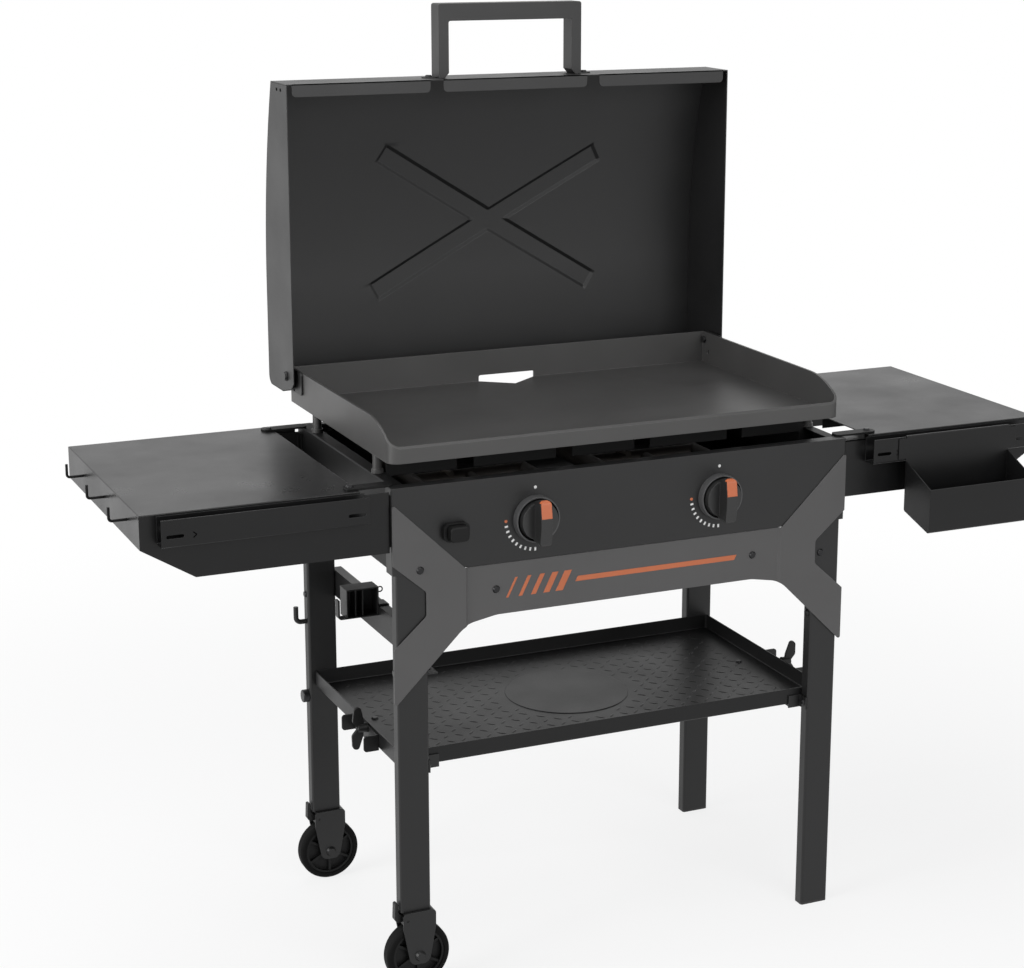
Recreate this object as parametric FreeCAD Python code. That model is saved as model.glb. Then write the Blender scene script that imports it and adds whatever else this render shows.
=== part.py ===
import FreeCAD, Part
import math
import os
from FreeCAD import Vector as V

# Outdoor gas griddle station: a two-burner flat-top griddle with a lift-up hood,
# side shelves, bottom tray and a pair of wheels. Millimetres, +X to the cook's right,
# +Y to the back, +Z up, origin on the floor under the middle of the leg frame.

os.makedirs("parts", exist_ok=True)

# Leg frame
FRAME_X = 371.0          # outer face of the legs, from the middle
FRAME_Y = 217.0          # front and rear face of the legs, from the middle
LEG_X = 48.0
LEG_Y = 22.0
LEG_WALL = 1.6
LEG_CORNER = 4.0
LEG_TOP = 769.0
CAP_FLANGE = 3.0
CAP_PLUG = 24.0

# Sheet metal
SHEET = 1.5
BEND = 3.0
SEAT = 0.3               # clearance between pieces that rest on each other
FIT = 0.05               # radial clearance of a running fit
BOLT_FIT = 0.2           # radial clearance of a bolt in its hole

# Cabinet around the burners
PANEL_X = 377.0
PANEL_TOP = 779.0
PANEL_BOTTOM = 649.0
PANEL_FLANGE = 18.0
PANEL_RETURN = 24.0
SIDE_BOTTOM = 652.0
SIDE_FLANGE = 20.0
REAR_BOTTOM = 640.0
WALL_Y = -130.0          # inner wall in front of the burners
WALL_TOP = 806.0
WALL_BAND = 7.0          # what is left of the wall above its notches
WINDOW_HALF = 345.0      # long window in the wall, with notches rising from it
WINDOW_LOW = 745.0
WINDOW_HIGH = 774.0
VENT_X = (-227.0, -66.0, 66.0, 227.0)
VENT_WIDTH = 27.0

# Griddle plate
PLATE_X = 373.3
PLATE_FRONT = -204.5
PLATE_REAR = 246.6
PLATE_Z = 810.0
PLATE_FLOOR = 5.0
PLATE_WALL = 3.6
LIP_HEIGHT = 22.0
WALL_HEIGHT = 56.6
CHEEK_START = -112.0     # where the side wall begins to curve down to the lip
PLATE_CORNER = 18.0
GREASE_HALF = 50.0
GREASE_APEX = 205.0      # where the notch in the floor begins
GREASE_HIGH = 15.0
FOOT_X = 363.0
FOOT_Y = (-123.0, 150.0)
FOOT_R = 7.0
PAD_R = 9.0
PAD_HEIGHT = 6.0

# Hood, drawn closed and turned open about its hinge
HINGE_Y = 236.0
HINGE_Z = 854.0
HOOD_X = 384.0
HOOD_RIM = 818.0
HOOD_TOP = 946.0
HOOD_FRONT = -226.0
HOOD_FRONT_HEIGHT = 78.0
HOOD_REAR = 264.5
HOOD_FLAT_END = 100.0
HOOD_BACK_EDGE = 874.0
HOOD_CORNER = 15.0
HOOD_LIP = 20.0
HOOD_OPEN = 90.0
LIP_NOTCH_X = 136.0
LIP_NOTCH = 22.0
BEAD_WIDTH = 9.0
BEAD_DEPTH = 2.0
BEAD_GAP = 9.0           # from the crossing of the beads to the end of each one
BEAD_CROSS = (-8.0, 15.0)
BEAD_ENDS = ((-197.0, -92.0), (-196.0, 122.0), (191.0, -105.0), (184.0, 139.0))
SIDE_SLOT_W = 5.0
SIDE_SLOT_L = 9.0
BRACKET_T = 3.0
BRACKET_FRONT = 184.0
BRACKET_REAR = 256.0
BRACKET_LOW = 831.0
BRACKET_HIGH = 868.0
CATCH_Y = 221.7          # catch hole through the plate's cheek and the bracket
CATCH_Z = 834.0
CATCH_R = 3.5
PIN_R = 4.0
HANDLE_HALF = 124.0
HANDLE_POST = 17.0
HANDLE_FOOT = 10.0       # width of a post where it meets the hood
HANDLE_TAB = 22.0
TAB_T = 2.0
HANDLE_DEPTH = 32.0
HANDLE_REACH = 116.0
HANDLE_BAR = 27.0
HANDLE_DROP = 22.0       # from the hood's rim to the nearest face of the handle

# Controls
DIAL_X = 153.0
DIAL_Z = 711.0
BEZEL_R = 35.5
BEZEL_BORE = 32.5
BEZEL_HEIGHT = 12.0
KNOB_R = 31.0
KNOB_DISC = 15.0
KNOB_HEIGHT = 38.0
GRIP_WIDTH = 18.0
GRIP_HALF = 34.0         # half length of the grip bar in front of the bezel
GRIP_CROWN = 4.0         # how far the bar's ends fall back from its middle
INSERT_EDGE = 0.7
INSERT_LOW = 8.0
GRIP_GAP = 4.5           # from the panel to the back of the knob
KNOB_PUSH = 3.0
STEM_R = 3.0
COLLAR_R = 6.8
COLLAR_LENGTH = 6.0
BUTTON_X = -281.0
BUTTON_Z = 706.5
BUTTON_W = 29.0
BUTTON_H = 23.0
BUTTON_REACH = 24.0
BUTTON_TRAVEL = 4.0
BUTTON_FRAME = 5.0       # width of the frame beside the button
BUTTON_BROW = 2.0        # and above and below it
BUTTON_FRAME_HEIGHT = 10.0

# Gas train
PIPE_R = 8.0
PIPE_DROP = 24.0         # manifold centre below the valve centre
PIPE_Y = -178.0
PIPE_LEFT = -235.0
PIPE_RIGHT = 196.0
VALVE_R = 12.0
VALVE_REAR = -162.0
NOZZLE_R = 5.0
BURNER_R = 14.0
VENTURI_R = 11.0
BURNER_HALF = 95.0
BURNER_FRONT = -95.0
BURNER_REAR = 180.0
BURNER_CROSS = 40.0

# Side shelves
SHELF_TOP = 779.0
SHELF_OUT = 740.0
SHELF_IN = 422.0
SHELF_SKIRT_IN = 378.5
SHELF_FRONT = -212.5
SHELF_BACK = 217.0
SKIRT = 96.0
END_SKIRT = 49.0
CUT_X = 77.0             # run of the sloping lower corner of the skirt
LINK_IN = 368.0          # strap that ties the shelf to the cabinet top
LINK_OUT = 440.0
LINK_T = 3.0
LINK_NEAR = 184.0
LINK_FAR = 206.0
LINK_BOLT_X = 430.0
LINK_BOLT_Y = 192.0
RAIL_LEFT_ENDS = (-716.0, 416.0)
RAIL_LENGTH = 300.0
RAIL_TOP = 776.0
RAIL_BOTTOM = 736.5
RAIL_DEPTH = 25.5
SLOT_Z = 752.0
SLOT_WIDTH = 25.0
SLOT_HEIGHT = 5.0
SLOT_MARGIN = 7.0
HOOK_Y = (-144.0, -14.0, 116.0)
HOOK_Z = 757.0
HOOK_R = 2.0
HOOK_BEND = 4.5
HOOK_REACH = 25.0
HOOK_TIP = 20.0
HOOK_NUT_R = 6.0
HOOK_NUT = 2.5
ANGLE_T = 2.5
ANGLE_REACH = 62.0
RIB_Y = 72.0

# Tool bin on the right rail
BIN_LEFT = 475.0
BIN_RIGHT = 668.0
BIN_DEPTH = 72.0
BIN_FLOOR_FALL = 21.0    # how far the floor drops from the back to the front
BIN_RIM_FALL = 31.0      # the same for the upper edge of the sides
BIN_BACK_TOP = 737.5
BIN_HEIGHT = 81.0
BIN_EAR = 14.0
BIN_HOOK = 14.0

# Bottom tray and what is on it
TRAY_X = 362.0
TRAY_TOP = 369.0
TRAY_DEPTH = 26.0
TRAY_RING_X = 95.0
TRAY_RING_Y = 62.0
CORNER_T = 2.5           # corner brackets between tray and legs
CORNER_REACH = 23.0
CORNER_LOW = 338.0
CORNER_HIGH = 358.0
CLAMP_Y = -62.0
CLAMP_Z = 363.0
CLAMP_FRONT = -108.0
CLAMP_REAR = -6.0
CLAMP_LOW = 341.0
CLAMP_REACH = 24.0
CLAMP_T = 2.5
WING_R = 4.0
WING_SPAN = 36.0
WING_T = 4.0

# Tank side
BEAM_TOP = 535.0
BEAM_BOTTOM = 491.0
BEAM_FLANGE = 16.0
BEAM_BOLT_Z = 498.0
HANGER_W = 52.0
HANGER_L = 30.0
HANGER_H = 46.0
HANGER_Y = -10.0
HANGER_LOW = 521.0
HANGER_T = 2.0
HANGER_RIB = (15.0, 26.5)
HANGER_HOOK = 14.0
HANGER_HOOK_UP = 31.0
HANGER_RING = 4.0
HOSE_HOOK_R = 4.0
HOSE_HOOK_Z = 452.0
HOSE_HOOK_RISE = 26.0
HOSE_HOOK_OUT = 17.0
BUMPER_R = 10.5
BUMPER_T = 10.0
BUMPER_Z = 324.0

# Front brace
BRACE_TIP_TOP = 757.0
BRACE_TIP_BOTTOM = 449.0
APRON_X = 264.0
APRON_GAP = 1.0          # from the apron to the control panel above it
APRON_BOTTOM = 561.0
APRON_RISE = 9.0         # how far the apron's lower edge rises beside the gussets
APRON_SWEEP = 50.0
APRON_STEP = 3.0
APRON_SCREW_X = 215.0
APRON_SCREW_Z = 609.0
NOTCH_X = 326.0
NOTCH_LOW = 583.0
NOTCH_HIGH = 620.0
NOTCH_MOUTH_LOW = 537.0
NOTCH_MOUTH_HIGH = 664.0

# Wheels
WHEEL_R = 50.0
WHEEL_W = 24.0
TYRE = 9.0
AXLE_R = 5.0
WHEEL_SHIFT = 4.0        # from the middle of the leg toward the middle of the station
FORK_TOP = 122.0
FORK_GAP = 2.5
FORK_SHEET = 2.0
FORK_W = 52.0
LEVER_IN = 7.0
LEVER_DROP = 12.0
LEVER_PIN_R = 2.0
LEVER_W = 11.0

# Grease cup
CUP_X = 55.0
CUP_TOP = 765.0
CUP_HEIGHT = 60.0
CUP_FRONT = 222.0
CUP_REAR = 312.0
CUP_LIP = 7.0
CUP_WALL = 1.2

# Bolts
BOLT_R = 3.0
HEAD_R = 6.0
HEAD_H = 2.6
REAR_BOLT_Z = (680.0, 745.0)
SIDE_BOLT_Z = 668.0
ANGLE_BOLTS = ((394.0, 748.0), (416.0, 722.0))
SHANK = 8.0              # how far a bolt reaches past the sheet that it holds

LEG_IN = FRAME_X - LEG_X
LEG_FACE = FRAME_Y - LEG_Y
LEG_MID_X = FRAME_X - LEG_X / 2
LEG_MID_Y = FRAME_Y - LEG_Y / 2
WHEEL_LEG_END = FORK_TOP + SEAT
WHEEL_X = -LEG_MID_X + WHEEL_SHIFT
PANEL_FACE = -FRAME_Y - SHEET
APRON_TOP = PANEL_BOTTOM - APRON_GAP
SIDE_FACE = FRAME_X + SHEET
TRAY_Y = LEG_FACE - SEAT
TRAY_FLOOR = TRAY_TOP - TRAY_DEPTH
RAIL_FACE = SHELF_FRONT - RAIL_DEPTH


def spot(axis, level, a, b):
    if axis == "x":
        return V(level, a, b)
    if axis == "y":
        return V(a, level, b)
    return V(a, b, level)


def direction(axis, length):
    return {"x": V(length, 0, 0), "y": V(0, length, 0), "z": V(0, 0, length)}[axis]


def outline(axis, level, points):
    """Flat face square to an axis. A third number at a point rounds that corner."""
    flat = [FreeCAD.Vector(p[0], p[1], 0) for p in points]
    rounds = [p[2] if len(p) > 2 else 0.0 for p in points]
    ends = []
    arcs = []
    for i, here in enumerate(flat):
        if rounds[i] <= 0:
            ends.append((here, here))
            arcs.append(None)
            continue
        back = (flat[i - 1] - here).normalize()
        ahead = (flat[(i + 1) % len(flat)] - here).normalize()
        half = back.getAngle(ahead) / 2
        reach = rounds[i] / math.tan(half)
        bisector = (back + ahead).normalize()
        middle = here + bisector * (rounds[i] / math.sin(half) - rounds[i])
        ends.append((here + back * reach, here + ahead * reach))
        arcs.append(middle)
    edges = []
    for i in range(len(flat)):
        start, finish = ends[i]
        if arcs[i] is not None:
            a, m, b = (spot(axis, level, q.x, q.y) for q in (start, arcs[i], finish))
            edges.append(Part.Arc(a, m, b).toShape())
        after = ends[(i + 1) % len(flat)][0]
        if (after - finish).Length > 1e-6:
            a = spot(axis, level, finish.x, finish.y)
            b = spot(axis, level, after.x, after.y)
            edges.append(Part.LineSegment(a, b).toShape())
    return Part.Face(Part.Wire(edges))


def prism(axis, low, high, points):
    return outline(axis, low, points).extrude(direction(axis, high - low))


def rectangle(a0, a1, b0, b1, radius=0.0):
    return [(a0, b0, radius), (a1, b0, radius), (a1, b1, radius), (a0, b1, radius)]


def block(x0, x1, y0, y1, z0, z1):
    return prism("z", z0, z1, rectangle(x0, x1, y0, y1))


def rod(axis, centre, radius, length):
    return Part.makeCylinder(radius, length, V(*centre), direction(axis, 1))


def ring(axis, centre, outer, inner, length):
    return rod(axis, centre, outer, length).cut(rod(axis, centre, inner, length))


def fused(*shapes):
    return shapes[0].multiFuse(list(shapes[1:])).removeSplitter()


def mirrored(shape):
    return shape.mirror(V(0, 0, 0), V(1, 0, 0))


def turned(shape, centre, axis, angle):
    copy = shape.copy()
    copy.rotate(V(*centre), V(*axis), angle)
    return copy


def group(shapes):
    return Part.makeCompound(list(shapes))


def bent_wire(points, radius, bend):
    """Round wire along straight runs joined by tangent arcs."""
    path = [V(*p) for p in points]
    edges = []
    start = path[0]
    for i in range(1, len(path) - 1):
        here = path[i]
        back = (path[i - 1] - here).normalize()
        ahead = (path[i + 1] - here).normalize()
        half = back.getAngle(ahead) / 2
        reach = bend / math.tan(half)
        middle = here + (back + ahead).normalize() * (bend / math.sin(half) - bend)
        edges.append(Part.LineSegment(start, here + back * reach).toShape())
        edges.append(Part.Arc(here + back * reach, middle, here + ahead * reach).toShape())
        start = here + ahead * reach
    edges.append(Part.LineSegment(start, path[-1]).toShape())
    wire = Part.Wire(edges)
    section = Part.Wire(Part.makeCircle(radius, path[0], path[1] - path[0]))
    return wire.makePipeShell([section], True, False)


# Frame pieces

def leg(side, depth, bottom):
    """Rectangular steel tube; side and depth are -1 or +1."""
    x0, x1 = sorted((side * LEG_IN, side * FRAME_X))
    y0, y1 = sorted((depth * LEG_FACE, depth * FRAME_Y))
    outer = prism("z", bottom, LEG_TOP, rectangle(x0, x1, y0, y1, LEG_CORNER))
    inner = prism("z", bottom, LEG_TOP,
                  rectangle(x0 + LEG_WALL, x1 - LEG_WALL, y0 + LEG_WALL, y1 - LEG_WALL,
                            LEG_CORNER - LEG_WALL))
    return outer.cut(inner)


def foot_cap(side, depth):
    """Plastic cap with a flange under the tube and a plug inside it."""
    x0, x1 = sorted((side * LEG_IN, side * FRAME_X))
    y0, y1 = sorted((depth * LEG_FACE, depth * FRAME_Y))
    gap = LEG_WALL + BOLT_FIT
    flange = prism("z", 0, CAP_FLANGE, rectangle(x0, x1, y0, y1, LEG_CORNER))
    plug = prism("z", 0, CAP_PLUG,
                 rectangle(x0 + gap, x1 - gap, y0 + gap, y1 - gap, LEG_CORNER - LEG_WALL))
    return fused(flange, plug)


def control_panel():
    """Front panel: one folded sheet with side returns and a top flange."""
    outer = prism("z", PANEL_BOTTOM, PANEL_TOP,
                  [(-PANEL_X, -FRAME_Y + PANEL_RETURN), (-PANEL_X, PANEL_FACE, BEND),
                   (PANEL_X, PANEL_FACE, BEND), (PANEL_X, -FRAME_Y + PANEL_RETURN)])
    inner = prism("z", PANEL_BOTTOM, PANEL_TOP - SHEET,
                  [(-PANEL_X + SHEET, -FRAME_Y + PANEL_RETURN), (-PANEL_X + SHEET, -FRAME_Y, BEND - SHEET),
                   (PANEL_X - SHEET, -FRAME_Y, BEND - SHEET), (PANEL_X - SHEET, -FRAME_Y + PANEL_RETURN)])
    trim = block(-PANEL_X, PANEL_X, -FRAME_Y + PANEL_FLANGE, -FRAME_Y + PANEL_RETURN,
                 PANEL_TOP - SHEET, PANEL_TOP)
    panel = outer.cut(inner).cut(trim)
    for x in (-DIAL_X, DIAL_X):
        panel = panel.cut(rod("y", (x, PANEL_FACE - 1, DIAL_Z), STEM_R + 2, SHEET + 2))
    window = prism("y", PANEL_FACE - 1, -FRAME_Y + 1,
                   rectangle(BUTTON_X - BUTTON_W / 2 - SEAT, BUTTON_X + BUTTON_W / 2 + SEAT,
                             BUTTON_Z - BUTTON_H / 2 - SEAT, BUTTON_Z + BUTTON_H / 2 + SEAT, 6))
    return panel.cut(window)


def front_brace():
    """Gusset plates over the legs and the apron between them, from one sheet that
    steps back at the apron, trimmed to the outline with a notch at each end."""
    front = PANEL_FACE - SHEET
    step = front + APRON_STEP
    half = [(0, step), (APRON_X - 4, step), (APRON_X, front), (PANEL_X, front),
            (PANEL_X, front + SHEET), (APRON_X + 0.6, front + SHEET),
            (APRON_X - 3.4, step + SHEET), (0, step + SHEET)]
    right = prism("z", BRACE_TIP_BOTTOM, BRACE_TIP_TOP, half)
    sheet = fused(right, mirrored(right))
    low = APRON_BOTTOM + APRON_RISE
    inner = APRON_X - APRON_SWEEP
    shape = [(-PANEL_X, BRACE_TIP_BOTTOM, 3), (-APRON_X, APRON_BOTTOM, APRON_SWEEP),
             (-inner, low, APRON_SWEEP), (inner, low, APRON_SWEEP),
             (APRON_X, APRON_BOTTOM, APRON_SWEEP), (PANEL_X, BRACE_TIP_BOTTOM, 3),
             (PANEL_X, NOTCH_MOUTH_LOW), (NOTCH_X, NOTCH_LOW, 8), (NOTCH_X, NOTCH_HIGH, 8),
             (PANEL_X, NOTCH_MOUTH_HIGH), (PANEL_X, BRACE_TIP_TOP, 3), (APRON_X, APRON_TOP, 4),
             (-APRON_X, APRON_TOP, 4), (-PANEL_X, BRACE_TIP_TOP, 3),
             (-PANEL_X, NOTCH_MOUTH_HIGH), (-NOTCH_X, NOTCH_HIGH, 8), (-NOTCH_X, NOTCH_LOW, 8),
             (-PANEL_X, NOTCH_MOUTH_LOW)]
    return sheet.common(prism("y", front - 2, step + SHEET + 2, shape))


def side_panel(side):
    """Cabinet side outside the legs, with flanges turned in at top and bottom. In front
    the top flange stops short of the control panel's own flange."""
    cheek = block(FRAME_X, SIDE_FACE, -FRAME_Y, 0, SIDE_BOTTOM, PANEL_TOP - SHEET - SEAT)
    tall = prism("y", -FRAME_Y + PANEL_FLANGE + SEAT, FRAME_Y,
                 [(SIDE_FACE, SIDE_BOTTOM), (SIDE_FACE, PANEL_TOP, BEND),
                  (SIDE_FACE - SIDE_FLANGE, PANEL_TOP), (SIDE_FACE - SIDE_FLANGE, PANEL_TOP - SHEET),
                  (FRAME_X, PANEL_TOP - SHEET, BEND - SHEET), (FRAME_X, SIDE_BOTTOM)])
    ledge = block(FRAME_X - SIDE_FLANGE, SIDE_FACE, -LEG_FACE + 1, LEG_FACE - 1,
                  SIDE_BOTTOM, SIDE_BOTTOM + SHEET)
    panel = fused(tall, cheek, ledge)
    return panel if side > 0 else mirrored(panel)


def rear_panel():
    """Back of the cabinet, with a flange at the top and a ledge for the burner ends."""
    inner = FRAME_Y
    outer = FRAME_Y + SHEET
    reach = SIDE_FACE - SIDE_FLANGE - SEAT
    sheet = prism("x", -reach, reach,
                  [(outer, REAR_BOTTOM), (outer, PANEL_TOP, BEND), (inner - 16, PANEL_TOP),
                   (inner - 16, PANEL_TOP - SHEET), (inner, PANEL_TOP - SHEET, BEND - SHEET),
                   (inner, REAR_BOTTOM)])
    wings = block(-SIDE_FACE, SIDE_FACE, inner, outer, REAR_BOTTOM, PANEL_TOP - BEND)
    seat_top = DIAL_Z - BURNER_R - SEAT
    ledge = prism("x", -LEG_IN + 6, LEG_IN - 6,
                  [(inner, seat_top), (BURNER_REAR - 14, seat_top),
                   (BURNER_REAR - 14, seat_top - SHEET), (inner, seat_top - SHEET)])
    return fused(sheet, wings, ledge)


def burner_wall():
    """Inner front wall of the fire space: a long window, notches that rise from it like
    the gaps of a comb, and a hole for each burner."""
    y1 = WALL_Y + SHEET
    reach = FRAME_X - SEAT
    neck = SIDE_FACE - SIDE_FLANGE - SEAT
    low = SIDE_BOTTOM + SHEET + SEAT
    shoulder = PANEL_TOP - SHEET - SEAT
    face = prism("y", WALL_Y, y1,
                 [(-reach, low), (reach, low), (reach, shoulder), (neck, shoulder),
                  (neck, WALL_TOP, 4), (-neck, WALL_TOP, 4), (-neck, shoulder),
                  (-reach, shoulder)])
    tab = block(reach - SHEET, reach, WALL_Y, WALL_Y + 14, low, shoulder - 4)
    foot = block(-reach + 30, reach - 30, WALL_Y, WALL_Y + 14, low, low + SHEET)
    wall = fused(face, tab, mirrored(tab), foot)
    window = [prism("y", WALL_Y - 1, y1 + 1,
                    rectangle(-WINDOW_HALF, WINDOW_HALF, WINDOW_LOW, WINDOW_HIGH, 4))]
    for x in VENT_X:
        window.append(prism("y", WALL_Y - 1, y1 + 1,
                            rectangle(x - VENT_WIDTH / 2, x + VENT_WIDTH / 2,
                                      WINDOW_HIGH - 8, WALL_TOP - WALL_BAND, 3)))
    wall = wall.cut(group(window))
    for x in (-DIAL_X, DIAL_X):
        wall = wall.cut(rod("y", (x, WALL_Y - 1, DIAL_Z), VENTURI_R + SEAT, SHEET + 2))
    return wall


def heat_shield():
    """Shallow pan under the burners that sits on the ledges of the side panels."""
    low = SIDE_BOTTOM + SHEET
    reach = FRAME_X - SEAT
    front = WALL_Y + 14 + SEAT
    rear = LEG_FACE - 1
    outer = prism("z", low, low + 12, rectangle(-reach, reach, front, rear, 4))
    inner = prism("z", low + SHEET, low + 12,
                  rectangle(-reach + SHEET, reach - SHEET, front + SHEET, rear - SHEET, 2.5))
    return outer.cut(inner)


# Gas train

def burner(x):
    """H-shaped tube burner with its venturi reaching forward to the valve."""
    z = DIAL_Z
    venturi_front = VALVE_REAR + 18
    venturi = rod("y", (x, venturi_front, z), VENTURI_R, BURNER_CROSS - venturi_front)
    cross = rod("x", (x - BURNER_HALF, BURNER_CROSS, z), BURNER_R, 2 * BURNER_HALF)
    tubes = [rod("y", (x + s * BURNER_HALF, BURNER_FRONT, z), BURNER_R,
                 BURNER_REAR - BURNER_FRONT) for s in (-1, 1)]
    body = fused(venturi, cross, *tubes)
    mouth = rod("y", (x, venturi_front - 1, z), VENTURI_R - SHEET, 40)
    air = block(x - 4, x + 4, venturi_front + 14, venturi_front + 32, z - 2 * BURNER_R, z)
    return body.cut(mouth).cut(air)


def manifold():
    """Gas pipe along the back of the control panel, bored through and plugged right."""
    z = DIAL_Z - PIPE_DROP
    length = PIPE_RIGHT - PIPE_LEFT
    pipe = ring("x", (PIPE_LEFT, PIPE_Y, z), PIPE_R, PIPE_R - 2, length)
    plug = rod("x", (PIPE_RIGHT - 8, PIPE_Y, z), PIPE_R - 1, 8)
    straps = []
    for x in (PIPE_LEFT + 30, PIPE_RIGHT - 30):
        strap = prism("x", x, x + 16,
                      [(-FRAME_Y, z - PIPE_R + 1.5), (PIPE_Y + PIPE_R, z - PIPE_R + 1.5),
                       (PIPE_Y + PIPE_R, z - PIPE_R - 1), (-FRAME_Y + 2, z - PIPE_R - 1),
                       (-FRAME_Y + 2, z - PIPE_R - 18), (-FRAME_Y, z - PIPE_R - 18)])
        straps.append(strap)
    return fused(pipe, plug, *straps)


def gas_inlet():
    """Brass elbow at the left end of the pipe, its threaded end pointing down."""
    z = DIAL_Z - PIPE_DROP
    x = PIPE_LEFT - 12
    collar = prism("x", PIPE_LEFT - 4, PIPE_LEFT,
                   [(PIPE_Y + 9 * math.cos(math.radians(60 * k + 30)),
                     z + 9 * math.sin(math.radians(60 * k + 30))) for k in range(6)])
    run = rod("x", (x, PIPE_Y, z), PIPE_R, 8)
    knee = Part.makeSphere(PIPE_R, V(x, PIPE_Y, z))
    drop = rod("z", (x, PIPE_Y, z - 34), 7.5, 34)
    hexagon = prism("z", z - 20, z - 10,
                    [(x + 10 * math.cos(math.radians(60 * k)),
                      PIPE_Y + 10 * math.sin(math.radians(60 * k))) for k in range(6)])
    bore = rod("z", (x, PIPE_Y, z - 35), 4.5, 24)
    return fused(collar, run, knee, drop, hexagon).cut(bore)


def valve(x):
    """Brass valve: flange behind the panel, barrel, saddle on the pipe and nozzle."""
    back = -FRAME_Y
    barrel = rod("y", (x, back + 2, DIAL_Z), VALVE_R, VALVE_REAR - back - 2)
    flange = prism("y", back, back + 2,
                   rectangle(x - 20, x + 20, DIAL_Z - 9, DIAL_Z + 9, 6))
    saddle = rod("z", (x, PIPE_Y, DIAL_Z - PIPE_DROP), 9, PIPE_DROP)
    nozzle = Part.makeCone(8, NOZZLE_R, 12, V(x, VALVE_REAR, DIAL_Z), V(0, 1, 0))
    body = fused(barrel, flange, saddle, nozzle)
    body = body.cut(rod("x", (x - 20, PIPE_Y, DIAL_Z - PIPE_DROP), PIPE_R, 40))
    body = body.cut(rod("y", (x, back - 1, DIAL_Z), COLLAR_R + FIT, 1 + 17))
    return body.cut(rod("y", (x, back, DIAL_Z), STEM_R + FIT, 27))


def stem_collar(x):
    """Spring collar that slides in the valve when the knob is pushed."""
    return ring("y", (x, -FRAME_Y + 5, DIAL_Z), COLLAR_R, STEM_R + FIT, COLLAR_LENGTH)


def valve_stem(x):
    front = PANEL_FACE - GRIP_GAP - 14
    return rod("y", (x, front, DIAL_Z), STEM_R, -FRAME_Y + 20 - front)


def knob(x):
    """Turned disc with a crowned grip bar across it and a shallow hollow behind."""
    back = PANEL_FACE - GRIP_GAP
    disc = Part.makeCone(KNOB_R, KNOB_R - 2.5, KNOB_DISC, V(x, back, DIAL_Z), V(0, -1, 0))
    body = fused(disc, grip_bar(x))
    hollow = rod("y", (x, back - 4, DIAL_Z), KNOB_R - 4, 5)
    socket = rod("y", (x, back - 15, DIAL_Z), STEM_R, 16)
    boss = ring("y", (x, back - 4, DIAL_Z), 7, STEM_R, 4)
    return fused(body.cut(hollow).cut(insert_shape(x, 0.0)), boss).cut(socket)


def grip_bar(x):
    """Bar whose ends fall back and are rounded, seen from the side and from the front."""
    back = PANEL_FACE - GRIP_GAP
    top = back - KNOB_HEIGHT
    half = GRIP_WIDTH / 2
    side = []
    for sign in (1, -1):
        ends = [(back - 6, DIAL_Z + sign * (KNOB_R - 4)),
                (back - KNOB_DISC - 6, DIAL_Z + sign * GRIP_HALF, 3),
                (top + GRIP_CROWN, DIAL_Z + sign * GRIP_HALF, 5),
                (top, DIAL_Z + sign * INSERT_LOW)]
        side += ends if sign > 0 else ends[::-1]
    bar = prism("x", x - half, x + half, side)
    front = rectangle(x - half, x + half, DIAL_Z - GRIP_HALF, DIAL_Z + GRIP_HALF, half - 3)
    return bar.common(prism("y", top - 1, back, front))


def insert_shape(x, gap):
    """Coloured pointer let into the upper half of the grip bar and wrapped over its end."""
    top = PANEL_FACE - GRIP_GAP - KNOB_HEIGHT
    half = GRIP_WIDTH / 2 - INSERT_EDGE - gap
    low = DIAL_Z + INSERT_LOW + 1 + gap
    high = DIAL_Z + GRIP_HALF
    side = prism("x", x - half, x + half,
                 [(top - 0.8, low, 0.6), (top + GRIP_CROWN - 0.8, high + 1, 6),
                  (top + GRIP_CROWN + 6 - gap, high + 1), (top + GRIP_CROWN + 6 - gap, high - 3),
                  (top + GRIP_CROWN + 2.2 - gap, high - 3), (top + 2.2 - gap, low)])
    front = [(x - half, low), (x + half, low), (x + half, high + 1, half - 2.6),
             (x - half, high + 1, half - 2.6)]
    return side.common(prism("y", top - 2, top + GRIP_CROWN + 8, front))


def bezel(x):
    """Thin upstanding ring around the knob."""
    back = PANEL_FACE
    rim = Part.makeCone(BEZEL_R, BEZEL_R - 1, BEZEL_HEIGHT, V(x, back, DIAL_Z), V(0, -1, 0))
    return rim.cut(rod("y", (x, back - BEZEL_HEIGHT - 1, DIAL_Z), BEZEL_BORE, BEZEL_HEIGHT + 2))


def igniter_housing():
    """Frame of the push button on the panel and the battery tube behind it."""
    w = BUTTON_W / 2 + SEAT
    h = BUTTON_H / 2 + SEAT
    outer = prism("y", PANEL_FACE - BUTTON_FRAME_HEIGHT, PANEL_FACE,
                  rectangle(BUTTON_X - w - BUTTON_FRAME, BUTTON_X + w + BUTTON_FRAME,
                            BUTTON_Z - h - BUTTON_BROW, BUTTON_Z + h + BUTTON_BROW, 8))
    inner = prism("y", PANEL_FACE - BUTTON_FRAME_HEIGHT - 1, PANEL_FACE + 1,
                  rectangle(BUTTON_X - w, BUTTON_X + w, BUTTON_Z - h, BUTTON_Z + h, 6))
    return outer.cut(inner)


def igniter_module():
    """Battery and spark unit screwed behind the panel."""
    back = -FRAME_Y
    box = prism("y", back, back + 52,
                rectangle(BUTTON_X - BUTTON_W / 2 - 3, BUTTON_X + BUTTON_W / 2 + 3,
                          BUTTON_Z - BUTTON_H / 2 - 3, BUTTON_Z + BUTTON_H / 2 + 3, 8))
    well = prism("y", back - 1, back + 14,
                 rectangle(BUTTON_X - BUTTON_W / 2 - SEAT, BUTTON_X + BUTTON_W / 2 + SEAT,
                           BUTTON_Z - BUTTON_H / 2 - SEAT, BUTTON_Z + BUTTON_H / 2 + SEAT, 6))
    return box.cut(well)


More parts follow.
